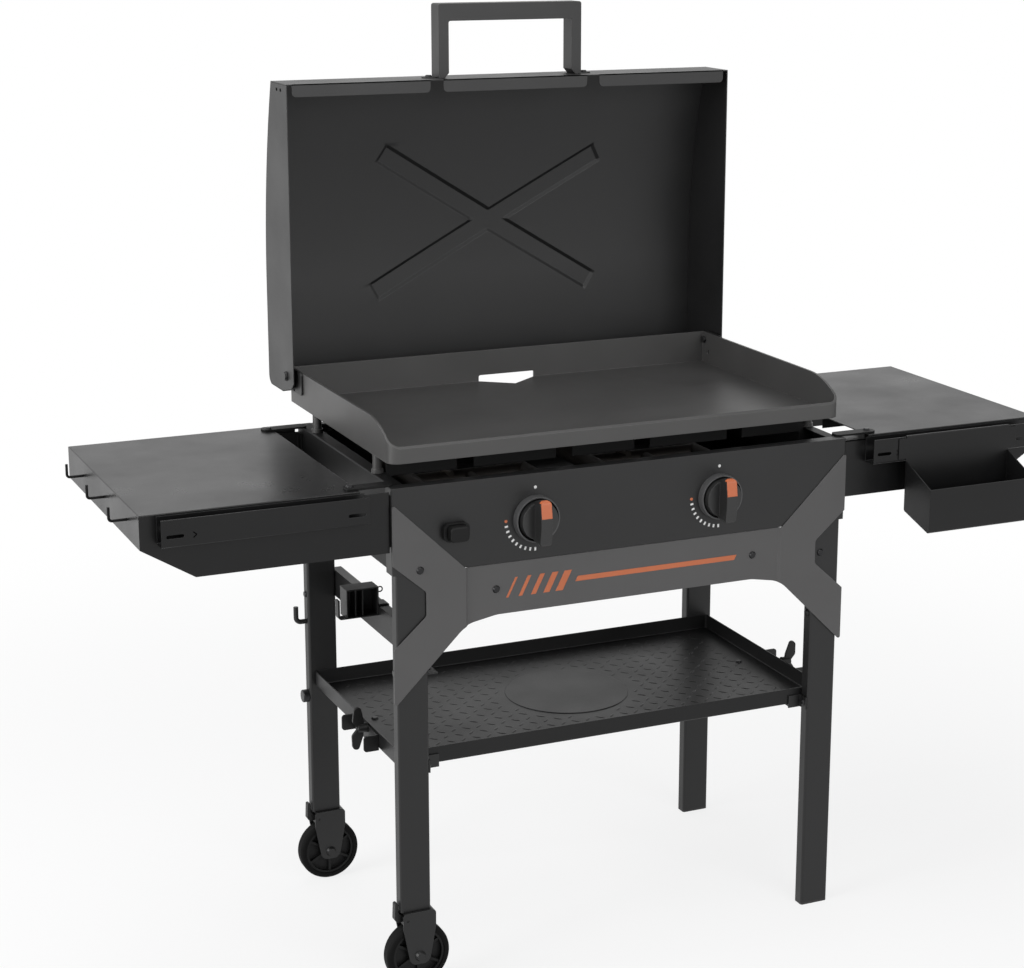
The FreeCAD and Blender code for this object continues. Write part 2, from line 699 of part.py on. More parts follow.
def igniter_button():
    """Push button with a rounded face, long enough to stay guided in its frame."""
    w = BUTTON_W / 2 - 0.1
    h = BUTTON_H / 2 - 0.1
    front = PANEL_FACE - BUTTON_REACH
    body = prism("y", front, -FRAME_Y + 8,
                 rectangle(BUTTON_X - w, BUTTON_X + w, BUTTON_Z - h, BUTTON_Z + h, 5.6))
    rim = [e for e in body.Edges if abs(e.BoundBox.YMin - front) < 0.01
           and abs(e.BoundBox.YMax - front) < 0.01]
    return body.makeFillet(2.5, rim)


def electrode(x):
    """Ceramic spark rod clipped beside the burner's cross tube."""
    y = BURNER_CROSS - 30
    z = DIAL_Z + BURNER_R
    clip = block(x - 50, x - 38, y + 18, BURNER_CROSS, z, z + 1.5)
    ceramic = rod("y", (x - 44, y - 8, z + 5), 4.5, 34)
    tip = rod("y", (x - 44, y + 25, z + 5), 1.2, 17)
    return fused(clip, ceramic, tip)


# Griddle plate

def griddle_plate():
    """Cooking plate: floor, tall back and sides that sweep down to a low front lip, round
    front corners, and a notch in the floor and back wall where the grease runs off."""
    top = PLATE_Z + WALL_HEIGHT
    lip = PLATE_Z + LIP_HEIGHT
    side = Part.Wire([
        Part.LineSegment(V(0, PLATE_REAR, PLATE_Z), V(0, PLATE_FRONT, PLATE_Z)).toShape(),
        Part.LineSegment(V(0, PLATE_FRONT, PLATE_Z), V(0, PLATE_FRONT, lip)).toShape(),
        cheek_curve(lip, top),
        Part.LineSegment(V(0, CHEEK_START, top), V(0, PLATE_REAR, top)).toShape(),
        Part.LineSegment(V(0, PLATE_REAR, top), V(0, PLATE_REAR, PLATE_Z)).toShape()])
    outer = Part.Face(side).extrude(V(2 * PLATE_X, 0, 0))
    outer.translate(V(-PLATE_X, 0, 0))
    outer = outer.common(prism("z", PLATE_Z - 1, top + 1, plate_plan(0)))
    room = prism("z", PLATE_Z + PLATE_FLOOR, top + 1, plate_plan(PLATE_WALL))
    inner_rear = PLATE_REAR - PLATE_WALL
    notch = prism("z", PLATE_Z - 1, PLATE_Z + PLATE_FLOOR + 1,
                  [(0, GREASE_APEX), (GREASE_HALF, inner_rear + 0.5),
                   (-GREASE_HALF, inner_rear + 0.5)])
    mouth = prism("y", inner_rear - 0.5, PLATE_REAR + 1,
                  [(-GREASE_HALF, PLATE_Z - 1), (GREASE_HALF, PLATE_Z - 1),
                   (GREASE_HALF, PLATE_Z + GREASE_HIGH, 3),
                   (-GREASE_HALF, PLATE_Z + GREASE_HIGH, 3)])
    return outer.cut(room).cut(notch).cut(mouth).cut(cheek_holes())


def plate_plan(inset):
    """Plan of the plate, moved in by its wall."""
    x = PLATE_X - inset
    front = PLATE_FRONT + inset
    rear = PLATE_REAR - inset
    return [(-x, front, PLATE_CORNER - inset), (x, front, PLATE_CORNER - inset), (x, rear),
            (-x, rear)]


def cheek_holes():
    """Holes for the pivots and the catch, through both cheeks and their brackets."""
    length = 2 * (PLATE_X + BRACKET_T + 1)
    return group([rod("x", (-length / 2, HINGE_Y, HINGE_Z), PIN_R + BOLT_FIT, length),
                  rod("x", (-length / 2, CATCH_Y, CATCH_Z), CATCH_R, length)])


def cheek_curve(lip, top):
    """The rounded fall of the side wall: one arc that leaves the top edge smoothly."""
    run = CHEEK_START - PLATE_FRONT
    drop = top - lip
    radius = (run ** 2 + drop ** 2) / (2 * drop)
    middle = top - radius + math.sqrt(radius ** 2 - run ** 2 / 4)
    return Part.Arc(V(0, PLATE_FRONT, lip), V(0, PLATE_FRONT + run / 2, middle),
                    V(0, CHEEK_START, top)).toShape()


def griddle_foot(x, y):
    pad = rod("z", (x, y, PANEL_TOP + SEAT), PAD_R, PAD_HEIGHT)
    post = rod("z", (x, y, PANEL_TOP + SEAT), FOOT_R, PLATE_Z - PANEL_TOP - SEAT)
    return fused(pad, post)


# Hood

def hood_edge(inset):
    """Side outline of the closed hood in the YZ plane, moved in by the sheet."""
    radius_span = HOOD_FLAT_END - HOOD_FRONT
    drop = HOOD_TOP - HOOD_RIM - HOOD_FRONT_HEIGHT
    radius = (radius_span ** 2 + drop ** 2) / (2 * drop)
    front = HOOD_FRONT + inset
    top = HOOD_TOP - inset
    rear = HOOD_REAR - inset
    centre_z = HOOD_TOP - radius
    r = radius - inset

    def arc_z(y):
        return centre_z + math.sqrt(r ** 2 - (y - HOOD_FLAT_END) ** 2)

    corner = HOOD_CORNER - inset
    rim = HOOD_RIM - 1 if inset else HOOD_RIM
    back = HOOD_BACK_EDGE
    slope = (HOOD_REAR - 9.0 - inset, HOOD_RIM + 14)
    points = [V(0, front, rim), V(0, front, arc_z(front)), V(0, HOOD_FLAT_END, top),
              V(0, rear - corner, top), V(0, rear, top - corner), V(0, rear, back),
              V(0, slope[0], slope[1]), V(0, slope[0] - 12, rim)]
    middle = (front + HOOD_FLAT_END) / 2
    reach = corner * (1 - math.sqrt(0.5))
    edges = [Part.LineSegment(points[0], points[1]).toShape(),
             Part.Arc(points[1], V(0, middle, arc_z(middle)), points[2]).toShape(),
             Part.LineSegment(points[2], points[3]).toShape(),
             Part.Arc(points[3], V(0, rear - reach, top - reach), points[4]).toShape()]
    for a, b in zip(points[4:], points[5:] + points[:1]):
        edges.append(Part.LineSegment(a, b).toShape())
    return Part.Face(Part.Wire(edges))


def opened(shape):
    return turned(shape, (0, HINGE_Y, HINGE_Z), (1, 0, 0), -HOOD_OPEN)


def swept(face, reach):
    """A YZ face swept over both sides of the middle."""
    solid = face.extrude(V(2 * reach, 0, 0))
    solid.translate(V(-reach, 0, 0))
    return solid


def hood_shell():
    """Bent sheet of the hood: front, crown and back, with a notched lip along the front
    edge and crossed beads pressed into the crown."""
    crust = swept(hood_edge(0), HOOD_X)
    hollow = swept(hood_edge(SHEET), HOOD_X + 1)
    deeper = swept(hood_edge(SHEET + BEAD_DEPTH), HOOD_X + 1)
    below = block(-HOOD_X - 1, HOOD_X + 1, HINGE_Y, HOOD_REAR + 1, HOOD_RIM - 1, HOOD_BACK_EDGE)
    shell = crust.cut(hollow).cut(below)
    ridges = hollow.cut(deeper).common(bead_strips(BEAD_WIDTH))
    shell = fused(shell, ridges, *hood_lips())
    grooves = crust.cut(swept(hood_edge(BEAD_DEPTH), HOOD_X + 1)).common(
        bead_strips(BEAD_WIDTH - 2 * SHEET))
    return opened(shell.cut(grooves))


def bead_strips(width):
    """The four arms of the crossed beads, upright through the crown."""
    cross = V(BEAD_CROSS[0], BEAD_CROSS[1], 0)
    strips = []
    for end in BEAD_ENDS:
        tip = V(end[0], end[1], 0)
        along = (tip - cross).normalize()
        across = V(-along.y, along.x, 0) * (width / 2)
        start = cross + along * BEAD_GAP
        corners = [start - across, tip - across, tip + across, start + across]
        strips.append(prism("z", HOOD_RIM + HOOD_FRONT_HEIGHT, HOOD_TOP + 1,
                            [(c.x, c.y) for c in corners]))
    return group(strips)


def hood_lips():
    """Sections of the turned lip, with a notch under each handle post."""
    near = LIP_NOTCH_X - LIP_NOTCH / 2
    far = LIP_NOTCH_X + LIP_NOTCH / 2
    end = HOOD_X - 9
    return [prism("z", HOOD_RIM, HOOD_RIM + SHEET,
                  [(a, HOOD_FRONT), (b, HOOD_FRONT), (b, HOOD_FRONT + HOOD_LIP, 7),
                   (a, HOOD_FRONT + HOOD_LIP, 7)])
            for a, b in ((-end, -far), (-near, near), (far, end))]


def hood_side(side):
    """Flat side of the hood, set into the bent sheet, with two small slots in front."""
    plate = hood_edge(0).common(hood_edge(SHEET + SEAT)).extrude(V(SHEET, 0, 0))
    plate.translate(V(HOOD_X - SHEET, 0, 0))
    plate = plate.cut(rod("x", (HOOD_X - SHEET - 1, HINGE_Y, HINGE_Z), PIN_R + FIT, SHEET + 2))
    for z in (HOOD_RIM + 29, HOOD_RIM + 48):
        slot = rectangle(HOOD_FRONT + 8, HOOD_FRONT + 8 + SIDE_SLOT_W,
                         z - SIDE_SLOT_L / 2, z + SIDE_SLOT_L / 2, SIDE_SLOT_W / 2 - 0.1)
        plate = plate.cut(prism("x", HOOD_X - SHEET - 1, HOOD_X + 1, slot))
    plate = opened(plate)
    return plate if side > 0 else mirrored(plate)


def handle():
    """Flat bar bent into a square loop, standing off the hood's front face on posts that
    narrow at the foot, with a bolted tab beside each."""
    base = HOOD_FRONT
    front = base - HANDLE_REACH
    z0 = HOOD_RIM + HANDLE_DROP
    z1 = z0 + HANDLE_DEPTH
    outer = prism("z", z0, z1,
                  [(-HANDLE_HALF, base), (-HANDLE_HALF, front, 4), (HANDLE_HALF, front, 4),
                   (HANDLE_HALF, base)])
    inner = HANDLE_HALF - HANDLE_POST
    foot = HANDLE_HALF - HANDLE_FOOT
    window = prism("z", z0 - 1, z1 + 1,
                   [(-foot, base + 1), (-foot, base), (-inner, base - 8),
                    (-inner, front + HANDLE_BAR, 3), (inner, front + HANDLE_BAR, 3),
                    (inner, base - 8), (foot, base), (foot, base + 1)])
    middle = (z0 + z1) / 2
    tab = prism("y", base - TAB_T, base,
                rectangle(HANDLE_HALF - 2, HANDLE_HALF + HANDLE_TAB, middle - 9, middle + 9, 6))
    return fused(outer.cut(window), tab, mirrored(tab))


# Shelves

def skirt_points(low_end):
    """Front view of a shelf skirt with its sloping lower corner."""
    return [(SHELF_SKIRT_IN, SHELF_TOP - SKIRT), (SHELF_OUT - CUT_X, SHELF_TOP - SKIRT),
            (SHELF_OUT, low_end), (SHELF_OUT, SHELF_TOP), (SHELF_IN, SHELF_TOP),
            (SHELF_IN, SHELF_TOP - 6), (SHELF_SKIRT_IN, SHELF_TOP - 6)]


def shelf(side):
    """Folded shelf: flat top, deep skirts front and back, a shallow one at the end."""
    points = skirt_points(SHELF_TOP - END_SKIRT)
    body = prism("y", SHELF_FRONT, SHELF_BACK, points)
    room = block(SHELF_SKIRT_IN - 1, SHELF_OUT - SHEET, SHELF_FRONT + SHEET, SHELF_BACK - SHEET,
                 SHELF_TOP - SKIRT - 1, SHELF_TOP - SHEET)
    body = body.cut(room)
    web = block(SHELF_IN, SHELF_IN + SHEET, SHELF_FRONT + 12, SHELF_BACK - 12,
                SHELF_TOP - 26, SHELF_TOP)
    ribs = [block(SHELF_IN, SHELF_OUT, y, y + SHEET, SHELF_TOP - 20, SHELF_TOP)
            for y in (-RIB_Y, RIB_Y)]
    body = fused(body, web, *ribs)
    top_edges = [e for e in body.Edges if abs(e.BoundBox.ZMin - SHELF_TOP) < 0.01
                 and e.BoundBox.XMin > SHELF_IN - 0.1 and e.Length > 200
                 and (e.BoundBox.YMax < SHELF_FRONT + 0.1 or e.BoundBox.YMin > SHELF_BACK - 0.1
                      or e.BoundBox.XMin > SHELF_OUT - 0.1)]
    body = body.makeFillet(SHEET - 0.1, top_edges)
    return body if side > 0 else mirrored(body)


def accessory_rail(left):
    """Open-topped channel on the front skirt, open at its ends, with a slot near each
    end of its face."""
    back = SHELF_FRONT
    front = back - RAIL_DEPTH
    floor = RAIL_BOTTOM + SHEET
    rail = prism("x", left, left + RAIL_LENGTH,
                 [(back, RAIL_BOTTOM, BEND), (back, RAIL_TOP), (back - SHEET, RAIL_TOP),
                  (back - SHEET, floor, BEND - SHEET), (front + SHEET, floor, BEND - SHEET),
                  (front + SHEET, RAIL_TOP), (front, RAIL_TOP), (front, RAIL_BOTTOM, BEND)])
    for x in (left + SLOT_MARGIN, left + RAIL_LENGTH - SLOT_MARGIN - SLOT_WIDTH):
        slot = rectangle(x, x + SLOT_WIDTH, SLOT_Z - SLOT_HEIGHT / 2,
                         SLOT_Z + SLOT_HEIGHT / 2, SLOT_HEIGHT / 2)
        rail = rail.cut(prism("y", front - 1, front + SHEET + 1, slot))
    return rail


def corner_link(side, depth):
    """Strap from the cabinet top to the shelf, with round ends."""
    y0, y1 = sorted((depth * LINK_NEAR, depth * LINK_FAR))
    link = prism("z", SHELF_TOP, SHELF_TOP + LINK_T, rectangle(LINK_IN, LINK_OUT, y0, y1, 8))
    return link if side > 0 else mirrored(link)


def shelf_bracket(side, depth):
    """Angle that carries the shelf skirt from inside. In front it stands on the return
    of the control panel and behind on the side panel."""
    root = PANEL_X if depth < 0 else SIDE_FACE
    skirt = SHELF_FRONT + SHEET if depth < 0 else SHELF_BACK - SHEET
    away = 1 if depth < 0 else -1
    arm_y = sorted((skirt, skirt + away * ANGLE_T))
    pad_y = sorted((skirt, skirt + away * 17))
    low = SHELF_TOP - SKIRT + 8
    high = SHELF_TOP - 12
    pad = block(root, root + ANGLE_T, pad_y[0], pad_y[1], low, high)
    arm = prism("y", arm_y[0], arm_y[1],
                [(root, low), (root + ANGLE_REACH, low + 26, 8),
                 (root + ANGLE_REACH, high, 8), (root, high)])
    bracket = fused(pad, arm)
    return bracket if side > 0 else mirrored(bracket)


def tool_hook(y):
    """Bent wire hook through the end of the left shelf, with a nut inside."""
    x = -SHELF_OUT
    nut = rod("x", (x + SHEET, y, HOOK_Z), HOOK_NUT_R, HOOK_NUT)
    wire = bent_wire([(x + SHEET + HOOK_NUT, y, HOOK_Z), (x - HOOK_REACH, y, HOOK_Z),
                      (x - HOOK_REACH, y, HOOK_Z + HOOK_TIP)], HOOK_R, HOOK_BEND)
    return fused(nut, wire)


def tool_bin():
    """Hanging bin: back plate with ears, hooked over the rail, and sloping sides."""
    back = RAIL_FACE - SEAT
    front = back - BIN_DEPTH
    top = BIN_BACK_TOP
    low = BIN_BACK_TOP - BIN_HEIGHT
    side = [(back, top), (front, top - BIN_RIM_FALL), (front, low - BIN_FLOOR_FALL, 4),
            (back, low, 4)]
    outer = prism("x", BIN_LEFT, BIN_RIGHT, side)
    room = prism("x", BIN_LEFT + SHEET, BIN_RIGHT - SHEET,
                 [(back - SHEET, top + 1), (front + SHEET, top - BIN_RIM_FALL + 1),
                  (front + SHEET, low - BIN_FLOOR_FALL + SHEET + 0.6, 3),
                  (back - SHEET, low + SHEET + 0.2, 3)])
    crest = RAIL_TOP + SEAT
    inner = RAIL_FACE + SHEET + SEAT
    hook = prism("x", BIN_LEFT, BIN_RIGHT,
                 [(back, top - 4), (back, crest), (inner, crest), (inner, crest - BIN_HOOK),
                  (inner + SHEET, crest - BIN_HOOK), (inner + SHEET, crest + SHEET, 2),
                  (back - SHEET, crest + SHEET, 2), (back - SHEET, top - 4)])
    ears = block(BIN_LEFT - BIN_EAR, BIN_RIGHT + BIN_EAR, back - SHEET, back,
                 top + 3, RAIL_TOP - 2)
    return fused(outer.cut(room), hook, ears)


# Bottom tray and tank side

def tray():
    """Pressed tray with upstanding rims and an oval bead in its floor."""
    outer = prism("z", TRAY_FLOOR, TRAY_TOP, rectangle(-TRAY_X, TRAY_X, -TRAY_Y, TRAY_Y, 5))
    inner = prism("z", TRAY_FLOOR + SHEET, TRAY_TOP,
                  rectangle(-TRAY_X + SHEET, TRAY_X - SHEET, -TRAY_Y + SHEET, TRAY_Y - SHEET, 3.5))
    bead = oval(TRAY_RING_X, TRAY_RING_Y, 4)
    return fused(outer.cut(inner), bead)


def oval(rx, ry, width):
    """Raised oval ring on the tray's floor."""
    z = TRAY_FLOOR + SHEET
    shapes = []
    for grow in (0, -width):
        ellipse = Part.Ellipse(V(0, 0, z - 0.5), rx + grow, ry + grow)
        shapes.append(Part.Face(Part.Wire(ellipse.toShape())).extrude(V(0, 0, 1.9)))
    return shapes[0].cut(shapes[1])


def tray_support(side, depth):
    """Corner bracket: one leaf on the leg's inner face, one on the tray's rim and a
    short one under its floor."""
    under = TRAY_FLOOR - SEAT
    rim = -TRAY_Y - SEAT
    leaf = block(LEG_IN - CORNER_T, LEG_IN, -FRAME_Y + 2, rim, CORNER_LOW, CORNER_HIGH)
    front = block(LEG_IN - CORNER_REACH, LEG_IN, rim - CORNER_T, rim, CORNER_LOW, CORNER_HIGH)
    shelf = block(LEG_IN - CORNER_REACH, LEG_IN, rim - CORNER_T, rim + 16,
                  under - CORNER_T, under)
    support = fused(leaf, front, shelf)
    if depth > 0:
        support = support.mirror(V(0, 0, 0), V(0, 1, 0))
    return support if side > 0 else mirrored(support)


def tank_beam():
    """Folded beam between the left legs that a gas bottle hangs beside."""
    x = -LEG_IN
    lip = x + BEAM_FLANGE
    return prism("y", -FRAME_Y + 3, FRAME_Y - 3,
                 [(x, BEAM_BOTTOM), (x, BEAM_TOP), (lip, BEAM_TOP), (lip, BEAM_TOP - SHEET),
                  (x + SHEET, BEAM_TOP - SHEET), (x + SHEET, BEAM_BOTTOM + SHEET),
                  (lip, BEAM_BOTTOM + SHEET), (lip, BEAM_BOTTOM)])


def tank_hanger():
    """Box of bent plate, open to the front with two ribs inside, that hooks over the
    tank beam and carries a turned-up strap and a wire ring."""
    x1 = -LEG_IN - SEAT
    x0 = x1 - HANGER_W
    y0 = HANGER_Y
    y1 = y0 + HANGER_L
    low = HANGER_LOW
    high = low + HANGER_H
    t = HANGER_T
    outer = block(x0, x1, y0, y1, low, high)
    inner = block(x0 + t, x1 - t, y0 - 1, y1 - t, low + t, high - t)
    ribs = [block(x0 + r, x0 + r + t, y0 + 4, y1 - 1, low + 1, high - 1) for r in HANGER_RIB]
    over = BEAM_TOP + SEAT
    far = -LEG_IN + BEAM_FLANGE + SEAT
    hook = prism("y", y0 + 4, y1 - 4,
                 [(x1 - t, over), (far, over), (far, BEAM_TOP - 10), (far + t, BEAM_TOP - 10),
                  (far + t, over + t, 3), (x1 - t, over + t)])
    left = x0 - HANGER_HOOK
    strap = prism("y", y0, y0 + 12,
                  [(x0 + t, low), (x0 + t, low + 3), (left + 3, low + 3, 3),
                   (left + 3, low + HANGER_HOOK_UP), (left, low + HANGER_HOOK_UP), (left, low, 6)])
    wire_ring = Part.makeTorus(HANGER_RING, 1.0, V(x1 + HANGER_RING - 1, y0 + 3, high - 5),
                               V(0, 1, 0))
    return fused(outer.cut(inner), *ribs, hook, strap, wire_ring)


def hose_hook():
    """Bent rod on the outer face of the rear left leg, its end turned up."""
    out = -FRAME_X - HOSE_HOOK_OUT
    z = HOSE_HOOK_Z
    return bent_wire([(-FRAME_X, LEG_MID_Y, z), (out, LEG_MID_Y, z),
                      (out, LEG_MID_Y, z + HOSE_HOOK_RISE)], HOSE_HOOK_R, 8)


def clamp_bracket(side):
    """Bent plate on the tray's side rim with an ear turned out at each end and a
    threaded hole for the wing screw."""
    x = TRAY_X + SEAT
    high = TRAY_TOP - 3
    web = prism("x", x, x + CLAMP_T, [(CLAMP_FRONT, CLAMP_LOW), (CLAMP_REAR, CLAMP_LOW),
                                      (CLAMP_REAR, high), (CLAMP_FRONT, high)])
    ears = []
    for y in (CLAMP_FRONT, CLAMP_REAR - CLAMP_T):
        ears.append(prism("y", y, y + CLAMP_T,
                          [(x, CLAMP_LOW), (x + CLAMP_REACH, CLAMP_LOW, 5),
                           (x + CLAMP_REACH, high, 5), (x, high)]))
    bracket = fused(web, *ears)
    bracket = bracket.cut(rod("x", (x - 1, CLAMP_Y, CLAMP_Z), WING_R + FIT, CLAMP_T + 2))
    return bracket if side > 0 else mirrored(bracket)


def wing_screw(side):
    """Screw along X with two long rounded wings that lie along its axis."""
    x = TRAY_X + SEAT + CLAMP_T
    z = CLAMP_Z
    shaft = rod("x", (x - CLAMP_T + 0.2, CLAMP_Y, z), WING_R, 14)
    hub = Part.makeCone(8, 6.5, 15, V(x + SEAT, CLAMP_Y, z), V(1, 0, 0))
    wing = prism("y", CLAMP_Y - WING_T / 2, CLAMP_Y + WING_T / 2,
                 [(x + 5, z), (x + 15, z), (x + 24, z + 12, 8), (x + 22, z + WING_SPAN, 7),
                  (x + 12, z + WING_SPAN, 4), (x + 6, z + 14, 8)])
    low = turned(wing, (x, CLAMP_Y, z), (1, 0, 0), 180)
    screw = turned(fused(shaft, hub, wing, low), (0, CLAMP_Y, z), (1, 0, 0), 8)
    return screw if side > 0 else mirrored(screw)


# Wheels

def fork(depth):
    """Bent plate fork: a web under the leg, two rounded cheeks and a plug in the tube."""
    y = depth * LEG_MID_Y
    inner = WHEEL_W / 2 + FORK_GAP
    outer = inner + FORK_SHEET
    x = WHEEL_X
    half = FORK_W / 2
    cheek = [(x - half, FORK_TOP, 6), (x + half, FORK_TOP, 6), (x + half, FORK_TOP - 27, 8),
             (x + 15, WHEEL_R - 13, 12), (x - 15, WHEEL_R - 13, 12), (x - half, FORK_TOP - 27, 8)]
    body = prism("y", y - outer, y + outer, cheek)
    room = block(x - half - 1, x + half + 1, y - inner, y + inner, 0, FORK_TOP - FORK_SHEET)
    body = body.cut(room)
    gap = LEG_WALL + BOLT_FIT
    neck = prism("z", FORK_TOP - 1, WHEEL_LEG_END + 28,
                 rectangle(-FRAME_X + gap, -LEG_IN - gap,
                           y - LEG_Y / 2 + gap, y + LEG_Y / 2 - gap, LEG_CORNER - LEG_WALL))
    body = fused(body, neck)
    body = body.cut(rod("y", (x, y - outer - 1, WHEEL_R), AXLE_R + BOLT_FIT, 2 * outer + 2))
    pivot = (x - half + LEVER_IN, y - outer - 1, FORK_TOP - LEVER_DROP)
    return body.cut(rod("y", pivot, LEVER_PIN_R + FIT, 2 * outer + 2))


def wheel(depth):
    """Moulded hub with a rim, a thin web stiffened by spokes and a bore."""
    y = depth * LEG_MID_Y
    x = WHEEL_X
    rim_r = WHEEL_R - TYRE
    half = WHEEL_W / 2
    rim = ring("y", (x, y - half + 2, WHEEL_R), rim_r, rim_r - 4, WHEEL_W - 4)
    web = rod("y", (x, y - 2, WHEEL_R), rim_r - 1, 4)
    hub = rod("y", (x, y - half, WHEEL_R), 11, WHEEL_W)
    spoke = block(x - 2, x + 2, y - half + 4, y + half - 4, WHEEL_R + 5, WHEEL_R + rim_r - 2)
    spokes = [turned(spoke, (x, y, WHEEL_R), (0, 1, 0), 60 * k) for k in range(6)]
    body = fused(rim, web, hub, *spokes)
    return body.cut(rod("y", (x, y - half - 1, WHEEL_R), AXLE_R + FIT, WHEEL_W + 2))


def tyre(depth):
    """Solid tread pressed over the rim, its shoulders rounded."""
    y = depth * LEG_MID_Y
    x = WHEEL_X
    half = WHEEL_W / 2
    rim_r = WHEEL_R - TYRE
    profile = outline("x", x, [(y - half, WHEEL_R + rim_r), (y + half, WHEEL_R + rim_r),
                               (y + half, 2 * WHEEL_R, 6), (y - half, 2 * WHEEL_R, 6)])
    return profile.revolve(V(x, y, WHEEL_R), V(0, 1, 0), 360)


def axle(depth):
    """Axle bolt with a domed head in front and a nut behind."""
    y = depth * LEG_MID_Y
    x = WHEEL_X
    outer = WHEEL_W / 2 + FORK_GAP + FORK_SHEET
    shaft = rod("y", (x, y - outer, WHEEL_R), AXLE_R, 2 * outer)
    head = Part.makeCone(8.5, 6, 5, V(x, y - outer, WHEEL_R), V(0, -1, 0))
    nut = prism("y", y + outer, y + outer + 6,
                [(x + 9 * math.cos(math.radians(60 * k)),
                  WHEEL_R + 9 * math.sin(math.radians(60 * k))) for k in range(6)])
    return fused(shaft, head, nut)


def brake_lever(depth):
    """Foot lever pinned between the fork cheeks: a shoe just off the tyre and a narrow
    pedal that stands up beside the leg."""
    y = depth * LEG_MID_Y
    x = WHEEL_X - FORK_W / 2 + LEVER_IN
    z = FORK_TOP - LEVER_DROP
    half = WHEEL_W / 2 + FORK_GAP - 0.6
    arm = prism("y", y - half, y + half,
                [(x - 4, z - 11, 2), (x + 2, z - 12, 2), (x + 5, z - 3, 2), (x + 4, z + 4, 3),
                 (x - 4, z + 4, 3)])
    leg_gap = -FRAME_X - x - 2.0
    pedal = prism("y", y - LEVER_W / 2, y + LEVER_W / 2,
                  [(x - 3, z - 4), (x + 1, z + 3), (leg_gap + x + 4, z + 7, 2),
                   (leg_gap + x, z + 11, 2), (leg_gap + x, z + 26, 2),
                   (leg_gap + x - 5, z + 26, 2), (leg_gap + x - 6, z, 4),
                   (leg_gap + x - 2, z - 5, 2)])
    pins = rod("y", (x, y - half - FORK_SHEET, z), LEVER_PIN_R, 2 * (half + FORK_SHEET))
    return fused(arm, pedal, pins)


# Grease cup

def grease_cup():
    """Folded cup with a lip that slides on two rails."""
    low = CUP_TOP - CUP_HEIGHT
    outer = prism("z", low, CUP_TOP, rectangle(-CUP_X, CUP_X, CUP_FRONT, CUP_REAR, 8))
    inner = prism("z", low + CUP_WALL, CUP_TOP + 1,
                  rectangle(-CUP_X + CUP_WALL, CUP_X - CUP_WALL,
                            CUP_FRONT + CUP_WALL, CUP_REAR - CUP_WALL, 8 - CUP_WALL))
    lips = [block(a, b, CUP_FRONT + 10, CUP_REAR - 10, CUP_TOP - SHEET, CUP_TOP)
            for a, b in ((-CUP_X - CUP_LIP, -CUP_X + 0.5), (CUP_X - 0.5, CUP_X + CUP_LIP))]
    pull = prism("x", -18, 18, [(CUP_REAR - 1, CUP_TOP), (CUP_REAR + 13, CUP_TOP, 3),
                                (CUP_REAR + 13, CUP_TOP - 14), (CUP_REAR + 11.5, CUP_TOP - 14),
                                (CUP_REAR + 11.5, CUP_TOP - SHEET, 1.4),
                                (CUP_REAR - 1, CUP_TOP - SHEET)])
    return fused(outer.cut(inner), *lips, pull)


def grease_rail(side):
    """Z-shaped runner on the rear panel under the lip of the cup."""
    y0 = FRAME_Y + SHEET
    ledge = CUP_TOP - SHEET - SEAT
    inner = CUP_X + 1.0
    outer = CUP_X + CUP_LIP + 1.0
    run = prism("y", y0, CUP_REAR - 16,
                [(inner, ledge - SHEET), (outer + SHEET, ledge - SHEET), (outer + SHEET, CUP_TOP + 6),
                 (outer, CUP_TOP + 6), (outer, ledge), (inner, ledge)])
    tab = block(outer, outer + 18, y0, y0 + SHEET, ledge - SHEET, CUP_TOP + 6)
    rail = fused(run, tab)
    return rail if side > 0 else mirrored(rail)


# Fasteners

def bolt(axis, head, toward, length):
    """Domed bolt: head centre on the clamped face, shank going toward the piece."""
    x, y, z = head
    sign = 1 if toward > 0 else -1
    base = V(x, y, z)
    along = direction(axis, sign)
    shank = Part.makeCylinder(BOLT_R, length, base, along)
    dome = Part.makeCone(HEAD_R, HEAD_R - 1.8, HEAD_H, base, along * -1)
    return dome.fuse(shank)


def bolt_hole(axis, head, toward, length):
    x, y, z = head
    sign = 1 if toward > 0 else -1
    start = V(x, y, z) - direction(axis, sign * 0.5)
    return Part.makeCylinder(BOLT_R + BOLT_FIT, length + 1.5, start, direction(axis, sign))


def frame_bolt_list():
    """Every bolt of the frame as axis, head place, direction and length."""
    face = PANEL_FACE - SHEET
    support_z = (CORNER_LOW + CORNER_HIGH) / 2
    bolts = [("y", (-335.0, face, PANEL_BOTTOM + 4.5), 1, 2 * SHEET + LEG_WALL + SHANK),
             ("y", (337.0, -FRAME_Y, (NOTCH_LOW + NOTCH_HIGH) / 2 - 3), 1, LEG_WALL + SHANK),
             ("x", (LEG_IN, -LEG_MID_Y, BEAM_BOLT_Z), 1, LEG_WALL + SHANK)]
    for s in (-1, 1):
        bolts.append(("y", (s * APRON_SCREW_X, face + APRON_STEP, APRON_SCREW_Z), 1, SHEET + 5))
        bolts.append(("z", (s * (LEG_IN + 2), 12.0, TRAY_FLOOR + SHEET), -1, SHEET + 5))
        for z in REAR_BOLT_Z:
            bolts.append(("y", (s * LEG_MID_X, FRAME_Y + SHEET, z), -1,
                          SHEET + LEG_WALL + SHANK))
        for y in (-LEG_MID_Y, LEG_MID_Y):
            bolts.append(("x", (s * (LEG_IN - CORNER_T), y, support_z), s,
                          CORNER_T + LEG_WALL + SHANK))
            bolts.append(("x", (s * SIDE_FACE, y, SIDE_BOLT_Z), -s, SHEET + LEG_WALL + SHANK))
    for y in (-LEG_MID_Y, LEG_MID_Y):
        bolts.append(("x", (-FRAME_X, y, BEAM_BOLT_Z), 1, LEG_X + SHEET + 5))
    return bolts


